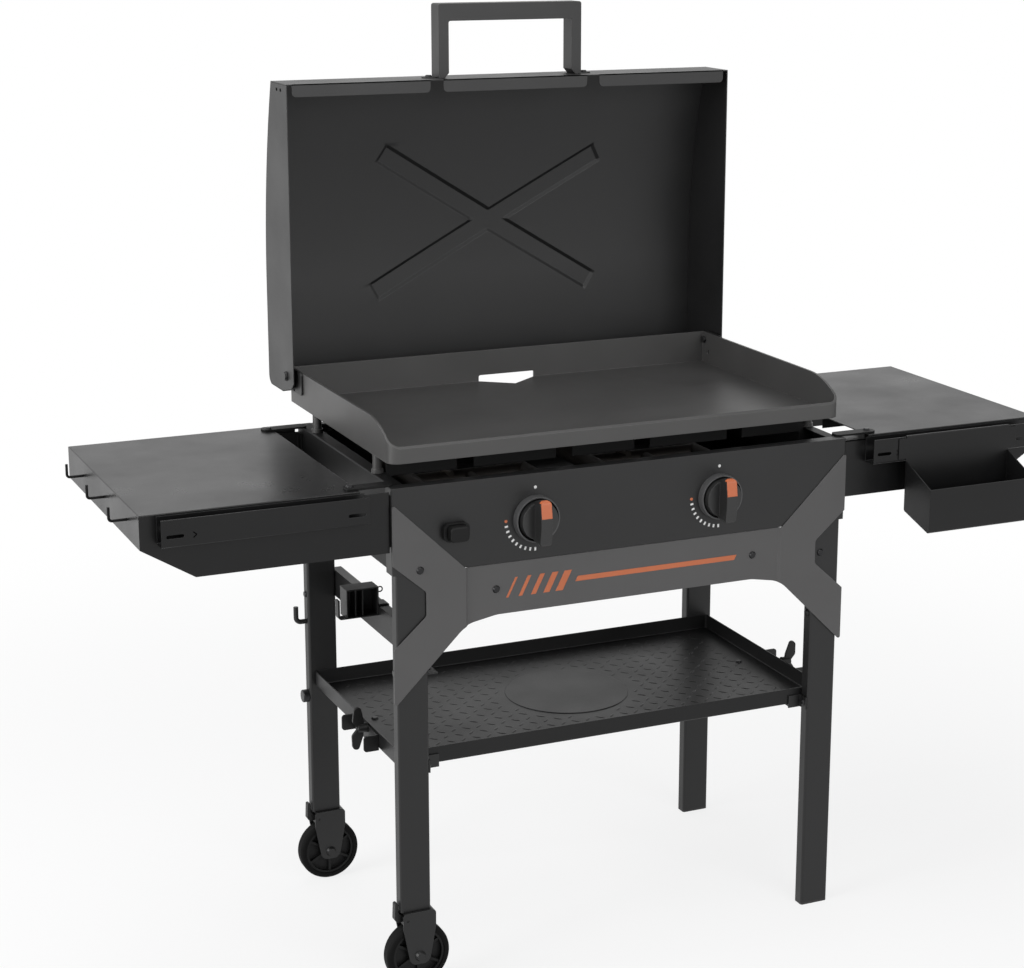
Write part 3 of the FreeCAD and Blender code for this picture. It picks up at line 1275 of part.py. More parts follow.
def link_bolt_list():
    """Bolts down through the corner links into the shelf tops."""
    return [("z", (s * LINK_BOLT_X, d * LINK_BOLT_Y, SHELF_TOP + LINK_T), -1,
             LINK_T + SHEET + 5) for s in (-1, 1) for d in (-1, 1)]


def shelf_bolt_list():
    """Blind bolts from inside, through the angles and up to the skirts."""
    bolts = []
    for s in (-1, 1):
        for x, z in ANGLE_BOLTS:
            for y, way in ((SHELF_FRONT, -1), (SHELF_BACK, 1)):
                inside = y - way * (SHEET + ANGLE_T)
                bolts.append(("y", (s * x, inside, z), way, ANGLE_T))
    return bolts


def leg_bumper():
    """Round bumper on the outer face of the rear left leg."""
    face = (-FRAME_X - BUMPER_T, LEG_MID_Y, BUMPER_Z)
    pad = rod("x", face, BUMPER_R, BUMPER_T)
    rim = [e for e in pad.Edges if e.BoundBox.XMax < -FRAME_X - BUMPER_T + 0.01]
    return fused(pad.makeFillet(2.0, rim), rod("x", face, BOLT_R, BUMPER_T + LEG_WALL + SHANK))


# Hinge

def hinge_bracket(side):
    """Flat plate on the outside of the cooking plate's cheek, round at its pivot end."""
    plate = prism("x", PLATE_X, PLATE_X + BRACKET_T,
                  [(BRACKET_FRONT, BRACKET_LOW, 6), (BRACKET_REAR, BRACKET_LOW, 14),
                   (BRACKET_REAR, BRACKET_HIGH, 14), (BRACKET_FRONT, BRACKET_HIGH, 6)])
    plate = plate.cut(cheek_holes())
    return plate if side > 0 else mirrored(plate)


def hinge_pin(side):
    """Pivot bolt: nut inside the cheek, washer between bracket and hood, head outside."""
    nut_face = PLATE_X - PLATE_WALL
    washer_face = PLATE_X + BRACKET_T
    head_face = HOOD_X + SEAT
    shaft = rod("x", (nut_face, HINGE_Y, HINGE_Z), PIN_R, head_face - nut_face)
    nut = prism("x", nut_face - 4.5, nut_face,
                [(HINGE_Y + 6 * math.cos(math.radians(60 * k)),
                  HINGE_Z + 6 * math.sin(math.radians(60 * k))) for k in range(6)])
    washer = rod("x", (washer_face, HINGE_Y, HINGE_Z), 8,
                 HOOD_X - SHEET - SEAT - washer_face)
    head = Part.makeCone(8, 6.5, 4, V(head_face, HINGE_Y, HINGE_Z), V(1, 0, 0))
    pin = fused(shaft, nut, washer, head)
    return pin if side > 0 else mirrored(pin)


def handle_bolt_list():
    """Bolts through the handle's tabs into the front of the closed hood."""
    z = HOOD_RIM + HANDLE_DROP + HANDLE_DEPTH / 2
    return [("y", (s * LIP_NOTCH_X, HOOD_FRONT - TAB_T, z), 1, TAB_T + SHEET + 6)
            for s in (-1, 1)]


# Assembly

def cut_each(shape, holes):
    """Cut the holes from each solid, keeping a group a group."""
    solids = [solid.cut(holes) for solid in shape.Solids]
    return solids[0] if len(solids) == 1 else group(solids)


def drill(nodes, names, bolts):
    holes = group([bolt_hole(*b) for b in bolts])
    for name in names:
        nodes[name] = cut_each(nodes[name], holes)


def frame_nodes():
    nodes = {}
    nodes["left_legs"] = group([leg(-1, -1, WHEEL_LEG_END), leg(-1, 1, WHEEL_LEG_END)])
    nodes["right_legs"] = group([leg(1, -1, CAP_FLANGE), leg(1, 1, CAP_FLANGE)])
    nodes["foot_caps"] = group([foot_cap(1, -1), foot_cap(1, 1)])
    nodes["control_panel"] = control_panel()
    nodes["front_brace"] = front_brace()
    nodes["side_panels"] = group([side_panel(-1), side_panel(1)])
    nodes["rear_panel"] = rear_panel()
    nodes["burner_wall"] = burner_wall()
    nodes["heat_shield"] = heat_shield()
    for side, name in ((-1, "left"), (1, "right")):
        nodes[name + "_shelf"] = shelf(side)
        nodes[name + "_wing_screw"] = wing_screw(side)
    nodes["accessory_rails"] = group([accessory_rail(x) for x in RAIL_LEFT_ENDS])
    nodes["corner_links"] = group([corner_link(s, d) for s in (-1, 1) for d in (-1, 1)])
    nodes["shelf_brackets"] = group([shelf_bracket(s, d) for s in (-1, 1) for d in (-1, 1)])
    nodes["tool_hooks"] = group([tool_hook(y) for y in HOOK_Y])
    nodes["tool_bin"] = tool_bin()
    nodes["bottom_tray"] = tray()
    nodes["tray_supports"] = group([tray_support(s, d) for s in (-1, 1) for d in (-1, 1)])
    nodes["tank_beam"] = tank_beam()
    nodes["tank_hanger"] = tank_hanger()
    nodes["hose_hook"] = hose_hook()
    nodes["clamp_brackets"] = group([clamp_bracket(-1), clamp_bracket(1)])
    return nodes


def gas_nodes():
    nodes = {}
    nodes["burners"] = group([burner(-DIAL_X), burner(DIAL_X)])
    nodes["gas_manifold"] = manifold()
    nodes["gas_inlet"] = gas_inlet()
    nodes["gas_valves"] = group([valve(-DIAL_X), valve(DIAL_X)])
    nodes["knob_bezels"] = group([bezel(-DIAL_X), bezel(DIAL_X)])
    nodes["igniter_housing"] = igniter_housing()
    nodes["igniter_module"] = igniter_module()
    nodes["igniter_button"] = igniter_button()
    nodes["igniter_electrodes"] = group([electrode(-DIAL_X), electrode(DIAL_X)])
    for side, name in ((-1, "left"), (1, "right")):
        x = side * DIAL_X
        nodes[name + "_knob"] = knob(x)
        nodes[name + "_knob_insert"] = insert_shape(x, 0.05)
        nodes[name + "_valve_stem"] = valve_stem(x)
        nodes[name + "_stem_collar"] = stem_collar(x)
    return nodes


def wheel_nodes():
    nodes = {}
    for depth, name in ((-1, "front"), (1, "rear")):
        nodes[name + "_wheel"] = wheel(depth)
        nodes[name + "_tyre"] = tyre(depth)
        nodes[name + "_brake_lever"] = brake_lever(depth)
    nodes["wheel_forks"] = group([fork(-1), fork(1)])
    nodes["wheel_axles"] = group([axle(-1), axle(1)])
    return nodes


def cooking_nodes():
    nodes = {}
    nodes["grease_cup"] = grease_cup()
    nodes["grease_rails"] = group([grease_rail(-1), grease_rail(1)])
    nodes["griddle_plate"] = griddle_plate()
    nodes["griddle_feet"] = group([griddle_foot(s * FOOT_X, y) for s in (-1, 1) for y in FOOT_Y])
    nodes["hinge_brackets"] = group([hinge_bracket(-1), hinge_bracket(1)])
    nodes["hinge_pins"] = group([hinge_pin(-1), hinge_pin(1)])
    handle_bolts = handle_bolt_list()
    holes = opened(group([bolt_hole(*b) for b in handle_bolts]))
    nodes["hood_shell"] = hood_shell().cut(holes)
    nodes["hood_sides"] = group([hood_side(-1), hood_side(1)])
    nodes["hood_handle"] = opened(handle()).cut(holes)
    nodes["handle_bolts"] = opened(group([bolt(*b) for b in handle_bolts]))
    return nodes


def build():
    nodes = {}
    for part in (frame_nodes(), gas_nodes(), wheel_nodes(), cooking_nodes()):
        nodes.update(part)
    frame_bolts = frame_bolt_list()
    bumper = ("x", (-FRAME_X, LEG_MID_Y, BUMPER_Z), 1, LEG_WALL + SHANK)
    drill(nodes, ("left_legs", "right_legs", "control_panel", "front_brace", "side_panels",
                  "rear_panel", "tray_supports", "tank_beam", "bottom_tray"),
          frame_bolts + [bumper])
    shelf_bolts = shelf_bolt_list()
    drill(nodes, ("shelf_brackets",), shelf_bolts)
    link_bolts = link_bolt_list()
    drill(nodes, ("left_shelf", "right_shelf", "corner_links"), link_bolts)
    hook_holes = group([rod("x", (-SHELF_OUT - 1, y, HOOK_Z), HOOK_R + BOLT_FIT, SHEET + 2)
                        for y in HOOK_Y])
    nodes["left_shelf"] = nodes["left_shelf"].cut(hook_holes)
    nodes["frame_bolts"] = group([bolt(*b) for b in frame_bolts + shelf_bolts + link_bolts]
                                 + [leg_bumper()])
    return nodes


def save(name, shape):
    shape.exportStep("parts/" + name + ".step")
    solids = len(shape.Solids)
    print("%-20s solids %2d  volume %10.0f  %s" % (name, solids, shape.Volume, shape.isValid()))


nodes = build()
for name in sorted(nodes):
    save(name, nodes[name])
print(len(nodes), "nodes")
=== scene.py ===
import math

import bmesh
import bpy
from mathutils import Matrix, Vector


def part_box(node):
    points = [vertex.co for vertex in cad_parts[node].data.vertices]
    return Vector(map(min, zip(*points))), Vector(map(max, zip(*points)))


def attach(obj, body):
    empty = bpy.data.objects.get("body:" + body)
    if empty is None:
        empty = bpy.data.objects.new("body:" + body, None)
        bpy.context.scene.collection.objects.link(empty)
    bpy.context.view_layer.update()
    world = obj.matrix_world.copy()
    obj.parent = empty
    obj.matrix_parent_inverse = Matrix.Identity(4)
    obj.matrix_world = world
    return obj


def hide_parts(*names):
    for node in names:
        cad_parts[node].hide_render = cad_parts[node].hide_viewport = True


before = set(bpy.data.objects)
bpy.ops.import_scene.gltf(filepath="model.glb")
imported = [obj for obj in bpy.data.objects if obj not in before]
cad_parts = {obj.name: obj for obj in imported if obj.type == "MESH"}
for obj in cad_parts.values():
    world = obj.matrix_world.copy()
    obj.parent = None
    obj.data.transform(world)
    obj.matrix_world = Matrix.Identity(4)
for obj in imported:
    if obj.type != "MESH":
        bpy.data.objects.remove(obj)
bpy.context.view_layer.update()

# Studio: a plain pale floor and soft even light, with the camera standing to the left
# of the station at eye height. The distance and the turn give the photographed view.
eye = Vector((-1.4308, -3.0802, 1.6001))
view_ahead = Vector((0.40234976, 0.88329421, -0.24063668))
view_right = Vector((0.91033049, -0.41387188, 0.00291151))
view_up = Vector((0.09702103, 0.22023035, 0.9706109))
camera_data = bpy.data.cameras.new("camera")
camera_data.sensor_width = 36.0
camera_data.lens = 78.01
camera_data.shift_x = -0.0386
camera_data.shift_y = -0.0392
camera_data.clip_end = 60.0
camera = bpy.data.objects.new("camera", camera_data)
view_turn = Matrix((view_right, view_up, -view_ahead)).transposed().to_4x4()
camera.matrix_world = Matrix.Translation(eye) @ view_turn
bpy.context.scene.collection.objects.link(camera)
bpy.context.scene.camera = camera
bpy.context.scene.view_settings.view_transform = "Standard"


def add_node(tree, kind, setup=None, **inputs):
    """Adds a shader node. setup holds its own settings and inputs its sockets, each
    named with _ for a space, or v0, v1 and so on where they are known by place."""
    made = tree.nodes.new(kind)
    for key, value in (setup or {}).items():
        setattr(made, key, value)
    for key, value in inputs.items():
        by_place = key[0] == "v" and key[1:].isdigit()
        socket = made.inputs[int(key[1:]) if by_place else key.replace("_", " ")]
        if isinstance(value, bpy.types.NodeSocket):
            tree.links.new(value, socket)
        else:
            socket.default_value = value
    return made


def combine(tree, operation, first, second):
    """What a Math node makes of two values."""
    return add_node(tree, "ShaderNodeMath", {"operation": operation}, v0=first, v1=second).outputs[0]


def remap(tree, value, old, new, curve="LINEAR"):
    """A value carried over from an old range to a new one and kept inside it."""
    return add_node(tree, "ShaderNodeMapRange", {"interpolation_type": curve}, v0=value,
                    v1=old[0], v2=old[1], v3=new[0], v4=new[1]).outputs[0]


def seen(tree):
    """1 for camera and mirror rays, 0 for the rays that carry light."""
    path = add_node(tree, "ShaderNodeLightPath")
    direct = combine(tree, "MAXIMUM", path.outputs["Is Camera Ray"], path.outputs["Is Glossy Ray"])
    return combine(tree, "MAXIMUM", direct, path.outputs["Is Transmission Ray"])


world = bpy.data.worlds.new("studio")
bpy.context.scene.world = world
world.use_nodes = True
sky = world.node_tree
sky.nodes.clear()
air = add_node(sky, "ShaderNodeBackground", Color=(0.95, 0.97, 1.0, 1), Strength=0.27)
white = add_node(sky, "ShaderNodeBackground", Color=(1, 1, 1, 1), Strength=1.0)
backdrop = add_node(sky, "ShaderNodeMixShader", v0=seen(sky), v1=air.outputs[0], v2=white.outputs[0])
add_node(sky, "ShaderNodeOutputWorld", Surface=backdrop.outputs[0])

floor_half = 14.0
bm = bmesh.new()
bmesh.ops.create_grid(bm, x_segments=1, y_segments=1, size=floor_half)
floor_mesh = bpy.data.meshes.new("floor")
bm.to_mesh(floor_mesh)
bm.free()
floor = bpy.data.objects.new("floor", floor_mesh)
bpy.context.scene.collection.objects.link(floor)
floor_finish = bpy.data.materials.new("floor")
floor_finish.use_nodes = True
tree = floor_finish.node_tree
paint = tree.nodes["Principled BSDF"]
paint.inputs["Base Color"].default_value = (0.93, 0.93, 0.93, 1)
paint.inputs["Roughness"].default_value = 0.8

# The camera sees white paper through most of the floor's paint near the feet, where a pale
# shadow is left, and nothing but paper from the outer ring on.
paper = add_node(tree, "ShaderNodeEmission", Color=(1, 1, 1, 1), Strength=1.0)
paper_by_feet = 0.80
inner_ring, outer_ring = 0.8, 2.4
floor_point = add_node(tree, "ShaderNodeTexCoord")
from_middle = add_node(tree, "ShaderNodeVectorMath", {"operation": "LENGTH"},
                       v0=floor_point.outputs["Object"])
paper_share = remap(tree, from_middle.outputs["Value"], (inner_ring, outer_ring), (paper_by_feet, 1.0),
                    curve="SMOOTHSTEP")
laid = add_node(tree, "ShaderNodeMixShader", v0=combine(tree, "MULTIPLY", seen(tree), paper_share),
                v1=paint.outputs[0], v2=paper.outputs[0])
tree.links.new(laid.outputs[0], tree.nodes["Material Output"].inputs["Surface"])
floor_mesh.materials.append(floor_finish)


def soft_lamp(name, stands, faces, size, watts):
    """Rectangular lamp that stands in one place and faces another."""
    lamp = bpy.data.lights.new(name, "AREA")
    lamp.shape = "RECTANGLE"
    lamp.size, lamp.size_y = size
    lamp.energy = watts
    hung = bpy.data.objects.new(name, lamp)
    hung.location = stands
    hung.rotation_euler = (Vector(faces) - Vector(stands)).to_track_quat("-Z", "Y").to_euler()
    bpy.context.scene.collection.objects.link(hung)


soft_lamp("left window", stands=(-4.2, -0.5, 1.9), faces=(0, 0, 0.8), size=(2.4, 2.6), watts=150)
soft_lamp("overhead", stands=(-0.4, 0.3, 4.2), faces=(0, 0, 0.7), size=(3.0, 2.4), watts=45)
soft_lamp("front fill", stands=(0.8, -4.4, 2.4), faces=(0, 0, 0.7), size=(3.0, 2.0), watts=80)

# Legs: rectangular steel tube with rolled corners, coated in a fine textured black
# powder and bolted to the brace in front. Plastic caps close the right pair at the floor.


def group(name, inputs, outputs):
    """Empty shader group with its named sockets, and its inner input and output nodes."""
    tree = bpy.data.node_groups.new(name, "ShaderNodeTree")
    for label, kind, value in inputs:
        socket = tree.interface.new_socket(label, in_out="INPUT", socket_type=kind)
        socket.default_value = value
    for label, kind in outputs:
        tree.interface.new_socket(label, in_out="OUTPUT", socket_type=kind)
    return tree, tree.nodes.new("NodeGroupInput"), tree.nodes.new("NodeGroupOutput")


# A finish's edges: each sharp edge is rounded by about a sheet's bend, and a mask shows where
# those edges are, broken up by noise as handling breaks up real wear. The colour paled by
# this mask is partly wear and partly a painted highlight along the edges.
edges, edges_in, edges_out = group(
    "worn edges",
    [("Radius", "NodeSocketFloat", 0.0012), ("Scale", "NodeSocketFloat", 60.0)],
    [("Normal", "NodeSocketVector"), ("Mask", "NodeSocketFloat")])
no_mark_cosine, full_mark_cosine = 0.995, 0.80
bare_noise, full_noise = 0.35, 0.65
faintest_mark = 0.25
rounded = add_node(edges, "ShaderNodeBevel", {"samples": 4}, Radius=edges_in.outputs["Radius"])
unrounded = add_node(edges, "ShaderNodeNewGeometry")
cosine = add_node(edges, "ShaderNodeVectorMath", {"operation": "DOT_PRODUCT"},
                  v0=rounded.outputs[0], v1=unrounded.outputs["Normal"])
on_edge = remap(edges, cosine.outputs["Value"], (no_mark_cosine, full_mark_cosine), (0.0, 1.0))
edge_point = add_node(edges, "ShaderNodeTexCoord")
patches = add_node(edges, "ShaderNodeTexNoise", Vector=edge_point.outputs["Object"],
                   Scale=edges_in.outputs["Scale"], Detail=4.0, Roughness=0.6)
patchy = remap(edges, patches.outputs["Fac"], (bare_noise, full_noise), (faintest_mark, 1.0))
edges.links.new(rounded.outputs[0], edges_out.inputs["Normal"])
edges.links.new(combine(edges, "MULTIPLY", on_edge, patchy), edges_out.inputs["Mask"])

# A finish's grain: the fine pebbling of powder coat or moulded plastic as a height, and
# slow clouds over it that shift colour and gloss by a few percent.
grain, grain_in, grain_out = group(
    "fine grain",
    [("Scale", "NodeSocketFloat", 1400.0), ("Cloud Scale", "NodeSocketFloat", 7.0)],
    [("Height", "NodeSocketFloat"), ("Cloud", "NodeSocketFloat")])
grain_point = add_node(grain, "ShaderNodeTexCoord")
pebbles = add_node(grain, "ShaderNodeTexNoise", Vector=grain_point.outputs["Object"],
                   Scale=grain_in.outputs["Scale"], Detail=2.0, Roughness=0.5)
clouds = add_node(grain, "ShaderNodeTexNoise", Vector=grain_point.outputs["Object"],
                  Scale=grain_in.outputs["Cloud Scale"], Detail=5.0, Roughness=0.55)
grain.links.new(pebbles.outputs["Fac"], grain_out.inputs["Height"])
grain.links.new(clouds.outputs["Fac"], grain_out.inputs["Cloud"])


def tint(colour, factor):
    """A colour made paler or darker, with the full alpha that a socket wants."""
    return tuple(min(1.0, channel * factor) for channel in colour) + (1.0,)


def coat(name, colour, roughness, specular=0.5, metallic=0.0, wear_and_highlight=1.8, pebble_height=0.00006,
         pebble_scale=1400.0):
    """Coated or moulded finish: a base colour with slow clouds, paler along its edges by wear
    and a painted highlight, fine pebbling as bump and a roughness that drifts with the clouds."""
    edge_radius, edge_scale = 0.0012, 60.0
    cloud_scale, cloud_tint = 7.0, 0.14
    clear_noise, dense_noise = 0.3, 0.7
    smoother, rougher = 0.05, 0.06
    material = bpy.data.materials.new(name)
    material.use_nodes = True
    tree = material.node_tree
    shader = tree.nodes["Principled BSDF"]
    worn_and_highlit = add_node(tree, "ShaderNodeGroup", {"node_tree": edges}, Radius=edge_radius, Scale=edge_scale)
    fine = add_node(tree, "ShaderNodeGroup", {"node_tree": grain}, Scale=pebble_scale,
                    Cloud_Scale=cloud_scale)
    clouded = add_node(tree, "ShaderNodeMix", {"data_type": "RGBA"}, v0=fine.outputs["Cloud"],
                       v6=tint(colour, 1.0 - cloud_tint), v7=tint(colour, 1.0 + cloud_tint))
    # Wear and painted highlight: the edge mask mixes in a paler copy of the colour.
    edged = add_node(tree, "ShaderNodeMix", {"data_type": "RGBA"}, v0=worn_and_highlit.outputs["Mask"],
                     v6=clouded.outputs[2], v7=tint(colour, wear_and_highlight))
    drifting = remap(tree, fine.outputs["Cloud"], (clear_noise, dense_noise),
                     (roughness - smoother, roughness + rougher))
    bump = add_node(tree, "ShaderNodeBump", Strength=1.0, Distance=pebble_height,
                    Height=fine.outputs["Height"], Normal=worn_and_highlit.outputs["Normal"])
    tree.links.new(edged.outputs[2], shader.inputs["Base Color"])
    tree.links.new(drifting, shader.inputs["Roughness"])
    tree.links.new(bump.outputs[0], shader.inputs["Normal"])
    shader.inputs["Metallic"].default_value = metallic
    shader.inputs["Specular IOR Level"].default_value = specular
    return material


def finish(material, *names):
    """Gives CAD nodes this finish in place of the plain one they came with."""
    for name in names:
        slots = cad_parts[name].data.materials
        for index in range(len(slots)):
            slots[index] = material
        if not slots:
            slots.append(material)


frame_coat = coat("frame coat", (0.008, 0.008, 0.0082), 0.42, specular=0.4)
cap_plastic = coat("cap plastic", (0.018, 0.018, 0.018), 0.55, wear_and_highlight=1.3)
finish(frame_coat, "left_legs", "right_legs")
finish(cap_plastic, "foot_caps")

# Wheels: moulded hubs in solid rubber tyres, each between two steel cheeks on a bolt,
# with a moulded foot lever that brakes the tread.
tyre_rubber = coat("tyre rubber", (0.005, 0.005, 0.005), 0.66, specular=0.08, wear_and_highlight=1.4,
                   pebble_height=0.00012, pebble_scale=700.0)
hub_plastic = coat("hub plastic", (0.007, 0.007, 0.0071), 0.45, specular=0.18, wear_and_highlight=1.5)
lever_plastic = coat("lever plastic", (0.009, 0.009, 0.009), 0.42, specular=0.3, wear_and_highlight=1.5)
finish(frame_coat, "wheel_forks", "wheel_axles")
finish(tyre_rubber, "front_tyre", "rear_tyre")
finish(hub_plastic, "front_wheel", "rear_wheel")
finish(lever_plastic, "front_brake_lever", "rear_brake_lever")

# Bottom tray: black coated sheet pressed with lozenge tread round a plain raised disc, its
# rims folded up. It lies on a bracket at each leg, and each side rim carries a clamp bracket
# with a moulded wing screw.


def block(bm, middle, size):
    """Adds a block of this size about a point, or about the middle of a turned frame."""
    place = middle if isinstance(middle, Matrix) else Matrix.Translation(middle)
    return bmesh.ops.create_cube(bm, size=1.0, matrix=place @ Matrix.Diagonal((*size, 1.0)))["verts"]


def round_off(bm, creases, radius, steps):
    """Rounds edges with an arc in a few steps."""
    bmesh.ops.bevel(bm, geom=creases, offset=radius, segments=steps, profile=0.5, affect="EDGES",
                    material=-1)


def upright(edge):
    """Whether an edge stands up, so that it isn't one of those that lie flat."""
    return abs(edge.verts[0].co.z - edge.verts[1].co.z) > sheet / 2


def points_of(geometry):
    """The vertices among what an operator gives back."""
    return [part for part in geometry if isinstance(part, bmesh.types.BMVert)]


def piece_of(bm, name, material, body):
    """Turns a bmesh into a named piece in this finish that rides on a body."""
    bmesh.ops.recalc_face_normals(bm, faces=bm.faces)
    mesh = bpy.data.meshes.new(name)
    bm.to_mesh(mesh)
    bm.free()
    mesh.materials.append(material)
    piece = bpy.data.objects.new(name, mesh)
    bpy.context.scene.collection.objects.link(piece)
    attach(piece, body)
    return piece


tray_coat = coat("tray coat", (0.009, 0.009, 0.0092), 0.38, specular=0.245)
sheet = 0.0015
facing = 0.9
tray_corner = 0.005
tray_fold = 0.003
fold_angle = math.radians(80)
tray_low, tray_high = (Vector(corner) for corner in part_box("bottom_tray"))

# The tray itself starts as a box without its lid. Corners and folds are rounded, and the
# sheet's thickness goes inwards.
bm = bmesh.new()
block(bm, (tray_low + tray_high) / 2, tray_high - tray_low)
lid = [face for face in bm.faces if face.normal.z > facing]
bmesh.ops.delete(bm, geom=lid, context="FACES_ONLY")
round_off(bm, [edge for edge in bm.edges if upright(edge)], tray_corner, 4)
folds = [edge for edge in bm.edges if len(edge.link_faces) == 2 and edge.calc_face_angle() > fold_angle]
round_off(bm, folds, tray_fold, 3)
bmesh.ops.recalc_face_normals(bm, faces=bm.faces)
bmesh.ops.solidify(bm, geom=bm.faces[:], thickness=sheet)

# The disc stands a millimetre above the tray's floor, with a narrow rounded rim.
tray_floor = tray_low.z + sheet
disc_radius = 0.100
disc_rim = 0.0008
disc_sunk = sheet / 3
disc = bmesh.ops.create_circle(bm, cap_ends=True, segments=96, radius=disc_radius,
                               matrix=Matrix.Translation((0, 0, tray_floor - disc_sunk)))
disc_face = disc["verts"][0].link_faces[0]
raised = bmesh.ops.extrude_face_region(bm, geom=[disc_face], use_keep_orig=True)["geom"]
bmesh.ops.translate(bm, vec=(0, 0, sheet), verts=points_of(raised))
round_off(bm, [part for part in raised if isinstance(part, bmesh.types.BMEdge)], disc_rim, 2)

# The tread is low lozenges that lean to one side and the other in turn. It leaves a plain
# border along the rims and round the disc.
tread_pitch = 0.021
tread_half = (0.0080, 0.0022, 0.0006)
tread_lean = 45
plain_side, plain_front = 0.03, 0.025
tread_columns = int((tray_high.x - plain_side) / tread_pitch)
tread_rows = int((tray_high.y - plain_front) / tread_pitch)
for row in range(-tread_rows, tread_rows + 1):
    for column in range(-tread_columns, tread_columns + 1):
        x, y = column * tread_pitch, row * tread_pitch
        if math.hypot(x, y) < disc_radius + tread_half[0]:
            continue
        lean = math.radians(tread_lean if (row + column) % 2 else -tread_lean)
        bmesh.ops.create_uvsphere(
            bm, u_segments=8, v_segments=4, radius=1.0,
            matrix=Matrix.Translation((x, y, tray_floor)) @ Matrix.Rotation(lean, 4, "Z")
            @ Matrix.Diagonal((*tread_half, 1.0)))
treaded_tray = piece_of(bm, "treaded_tray", tray_coat, "station")
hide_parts("bottom_tray")
finish(frame_coat, "tray_supports", "clamp_brackets")
finish(lever_plastic, "left_wing_screw", "right_wing_screw")

# Bottle side: a folded steel beam bolted between the left legs, the box of bent plate that
# hooks over it for the gas bottle, and a bent rod on the rear leg that holds a coiled hose.
finish(frame_coat, "tank_beam", "tank_hanger", "hose_hook")

# Cabinet: a control panel, a rear panel and two side panels folded from black coated sheet
# and bolted to the legs. Inside are a wall with vent slots and the pan of a heat shield.
panel_coat = coat("panel coat", (0.009, 0.009, 0.0092), 0.40, specular=0.4)
# Painted shade: the side panels, vent wall and heat shield get a darker, duller coat than the outer
# panels, for the shade in the gaps beside the shelves and under the plate.
shaded_inner_coat = coat("inner coat with painted shade", (0.006, 0.006, 0.0061), 0.5, specular=0.2, wear_and_highlight=1.5)
finish(panel_coat, "rear_panel", "control_panel")
finish(shaded_inner_coat, "side_panels", "burner_wall", "heat_shield")

# Burners and gas train: stainless tubes browned by heat, fed through turned brass valves on
# a plated steel pipe. A spark electrode in a sooted ceramic sleeve stands by each tube.
burner_steel = coat("burner tube", (0.045, 0.040, 0.036), 0.5, metallic=0.6, wear_and_highlight=1.3,
                    pebble_height=0.00002, pebble_scale=500.0)
zinc = coat("zinc", (0.42, 0.42, 0.44), 0.33, metallic=1.0, wear_and_highlight=1.2,
            pebble_height=0.00002, pebble_scale=600.0)
brass = coat("brass", (0.60, 0.42, 0.17), 0.3, metallic=1.0, wear_and_highlight=1.2,
             pebble_height=0.00001, pebble_scale=400.0)
ceramic = coat("sooted ceramic", (0.045, 0.040, 0.034), 0.6, specular=0.2, wear_and_highlight=1.3)
finish(burner_steel, "burners")
finish(zinc, "gas_manifold", "left_valve_stem", "right_valve_stem", "left_stem_collar",
       "right_stem_collar")
finish(brass, "gas_inlet", "gas_valves")
finish(ceramic, "igniter_electrodes")

# Front brace: one charcoal coated sheet, cut as a gusset over each leg and an apron under
# the panel, with a notch at each outer edge, and bolted to the legs and the panel.
brace_coat = coat("brace coat", (0.066, 0.0645, 0.0645), 0.48)
finish(brace_coat, "front_brace")

# Apron stripe: leaning bars that grow wider towards the middle and a long line after them,
# printed on the apron in a thin film of orange ink.
orange_print = coat("orange print", (0.48, 0.13, 0.05), 0.5, wear_and_highlight=1.0, pebble_height=0.00001)
film = 0.0002
stripe_y = -0.2170
stripe_z = 0.609
stripe_lean = 0.5
bar_count = 5
bar_first_x = -0.190
bar_pitch = 0.021
bar_first_width = 0.004
bar_growth = 0.002
bar_height = 0.030
line_x = 0.050
line_length = 0.270
line_height = 0.008


def stripe(bm, x, width, height):
    """Adds a leaning bar or line on the apron's face."""
    for vert in block(bm, (x, stripe_y, stripe_z), (width, 2 * film, height)):
        vert.co.x += (vert.co.z - stripe_z) * stripe_lean


bm = bmesh.new()
for step in range(bar_count):
    stripe(bm, bar_first_x + step * bar_pitch, bar_first_width + step * bar_growth, bar_height)
stripe(bm, line_x, line_length, line_height)
piece_of(bm, "apron_stripe", orange_print, "station")

# Controls: two knobs moulded in black plastic with an orange insert in the grip, pushed on
# the valve stems through dished bezels. The igniter's button stands in a frame clipped into
# the panel, with the spark module behind it.
bezel_plastic = coat("bezel plastic", (0.060, 0.060, 0.061), 0.4, wear_and_highlight=1.3)
knob_plastic = coat("knob plastic", (0.014, 0.014, 0.014), 0.3, wear_and_highlight=1.5)
orange_plastic = coat("orange plastic", (0.50, 0.125, 0.045), 0.4, wear_and_highlight=1.1)
button_plastic = coat("button plastic", (0.004, 0.004, 0.004), 0.5, specular=0.2, wear_and_highlight=1.6)
finish(bezel_plastic, "knob_bezels")
finish(knob_plastic, "left_knob", "right_knob")
finish(orange_plastic, "left_knob_insert", "right_knob_insert")
finish(cap_plastic, "igniter_module")
finish(button_plastic, "igniter_button", "igniter_housing")

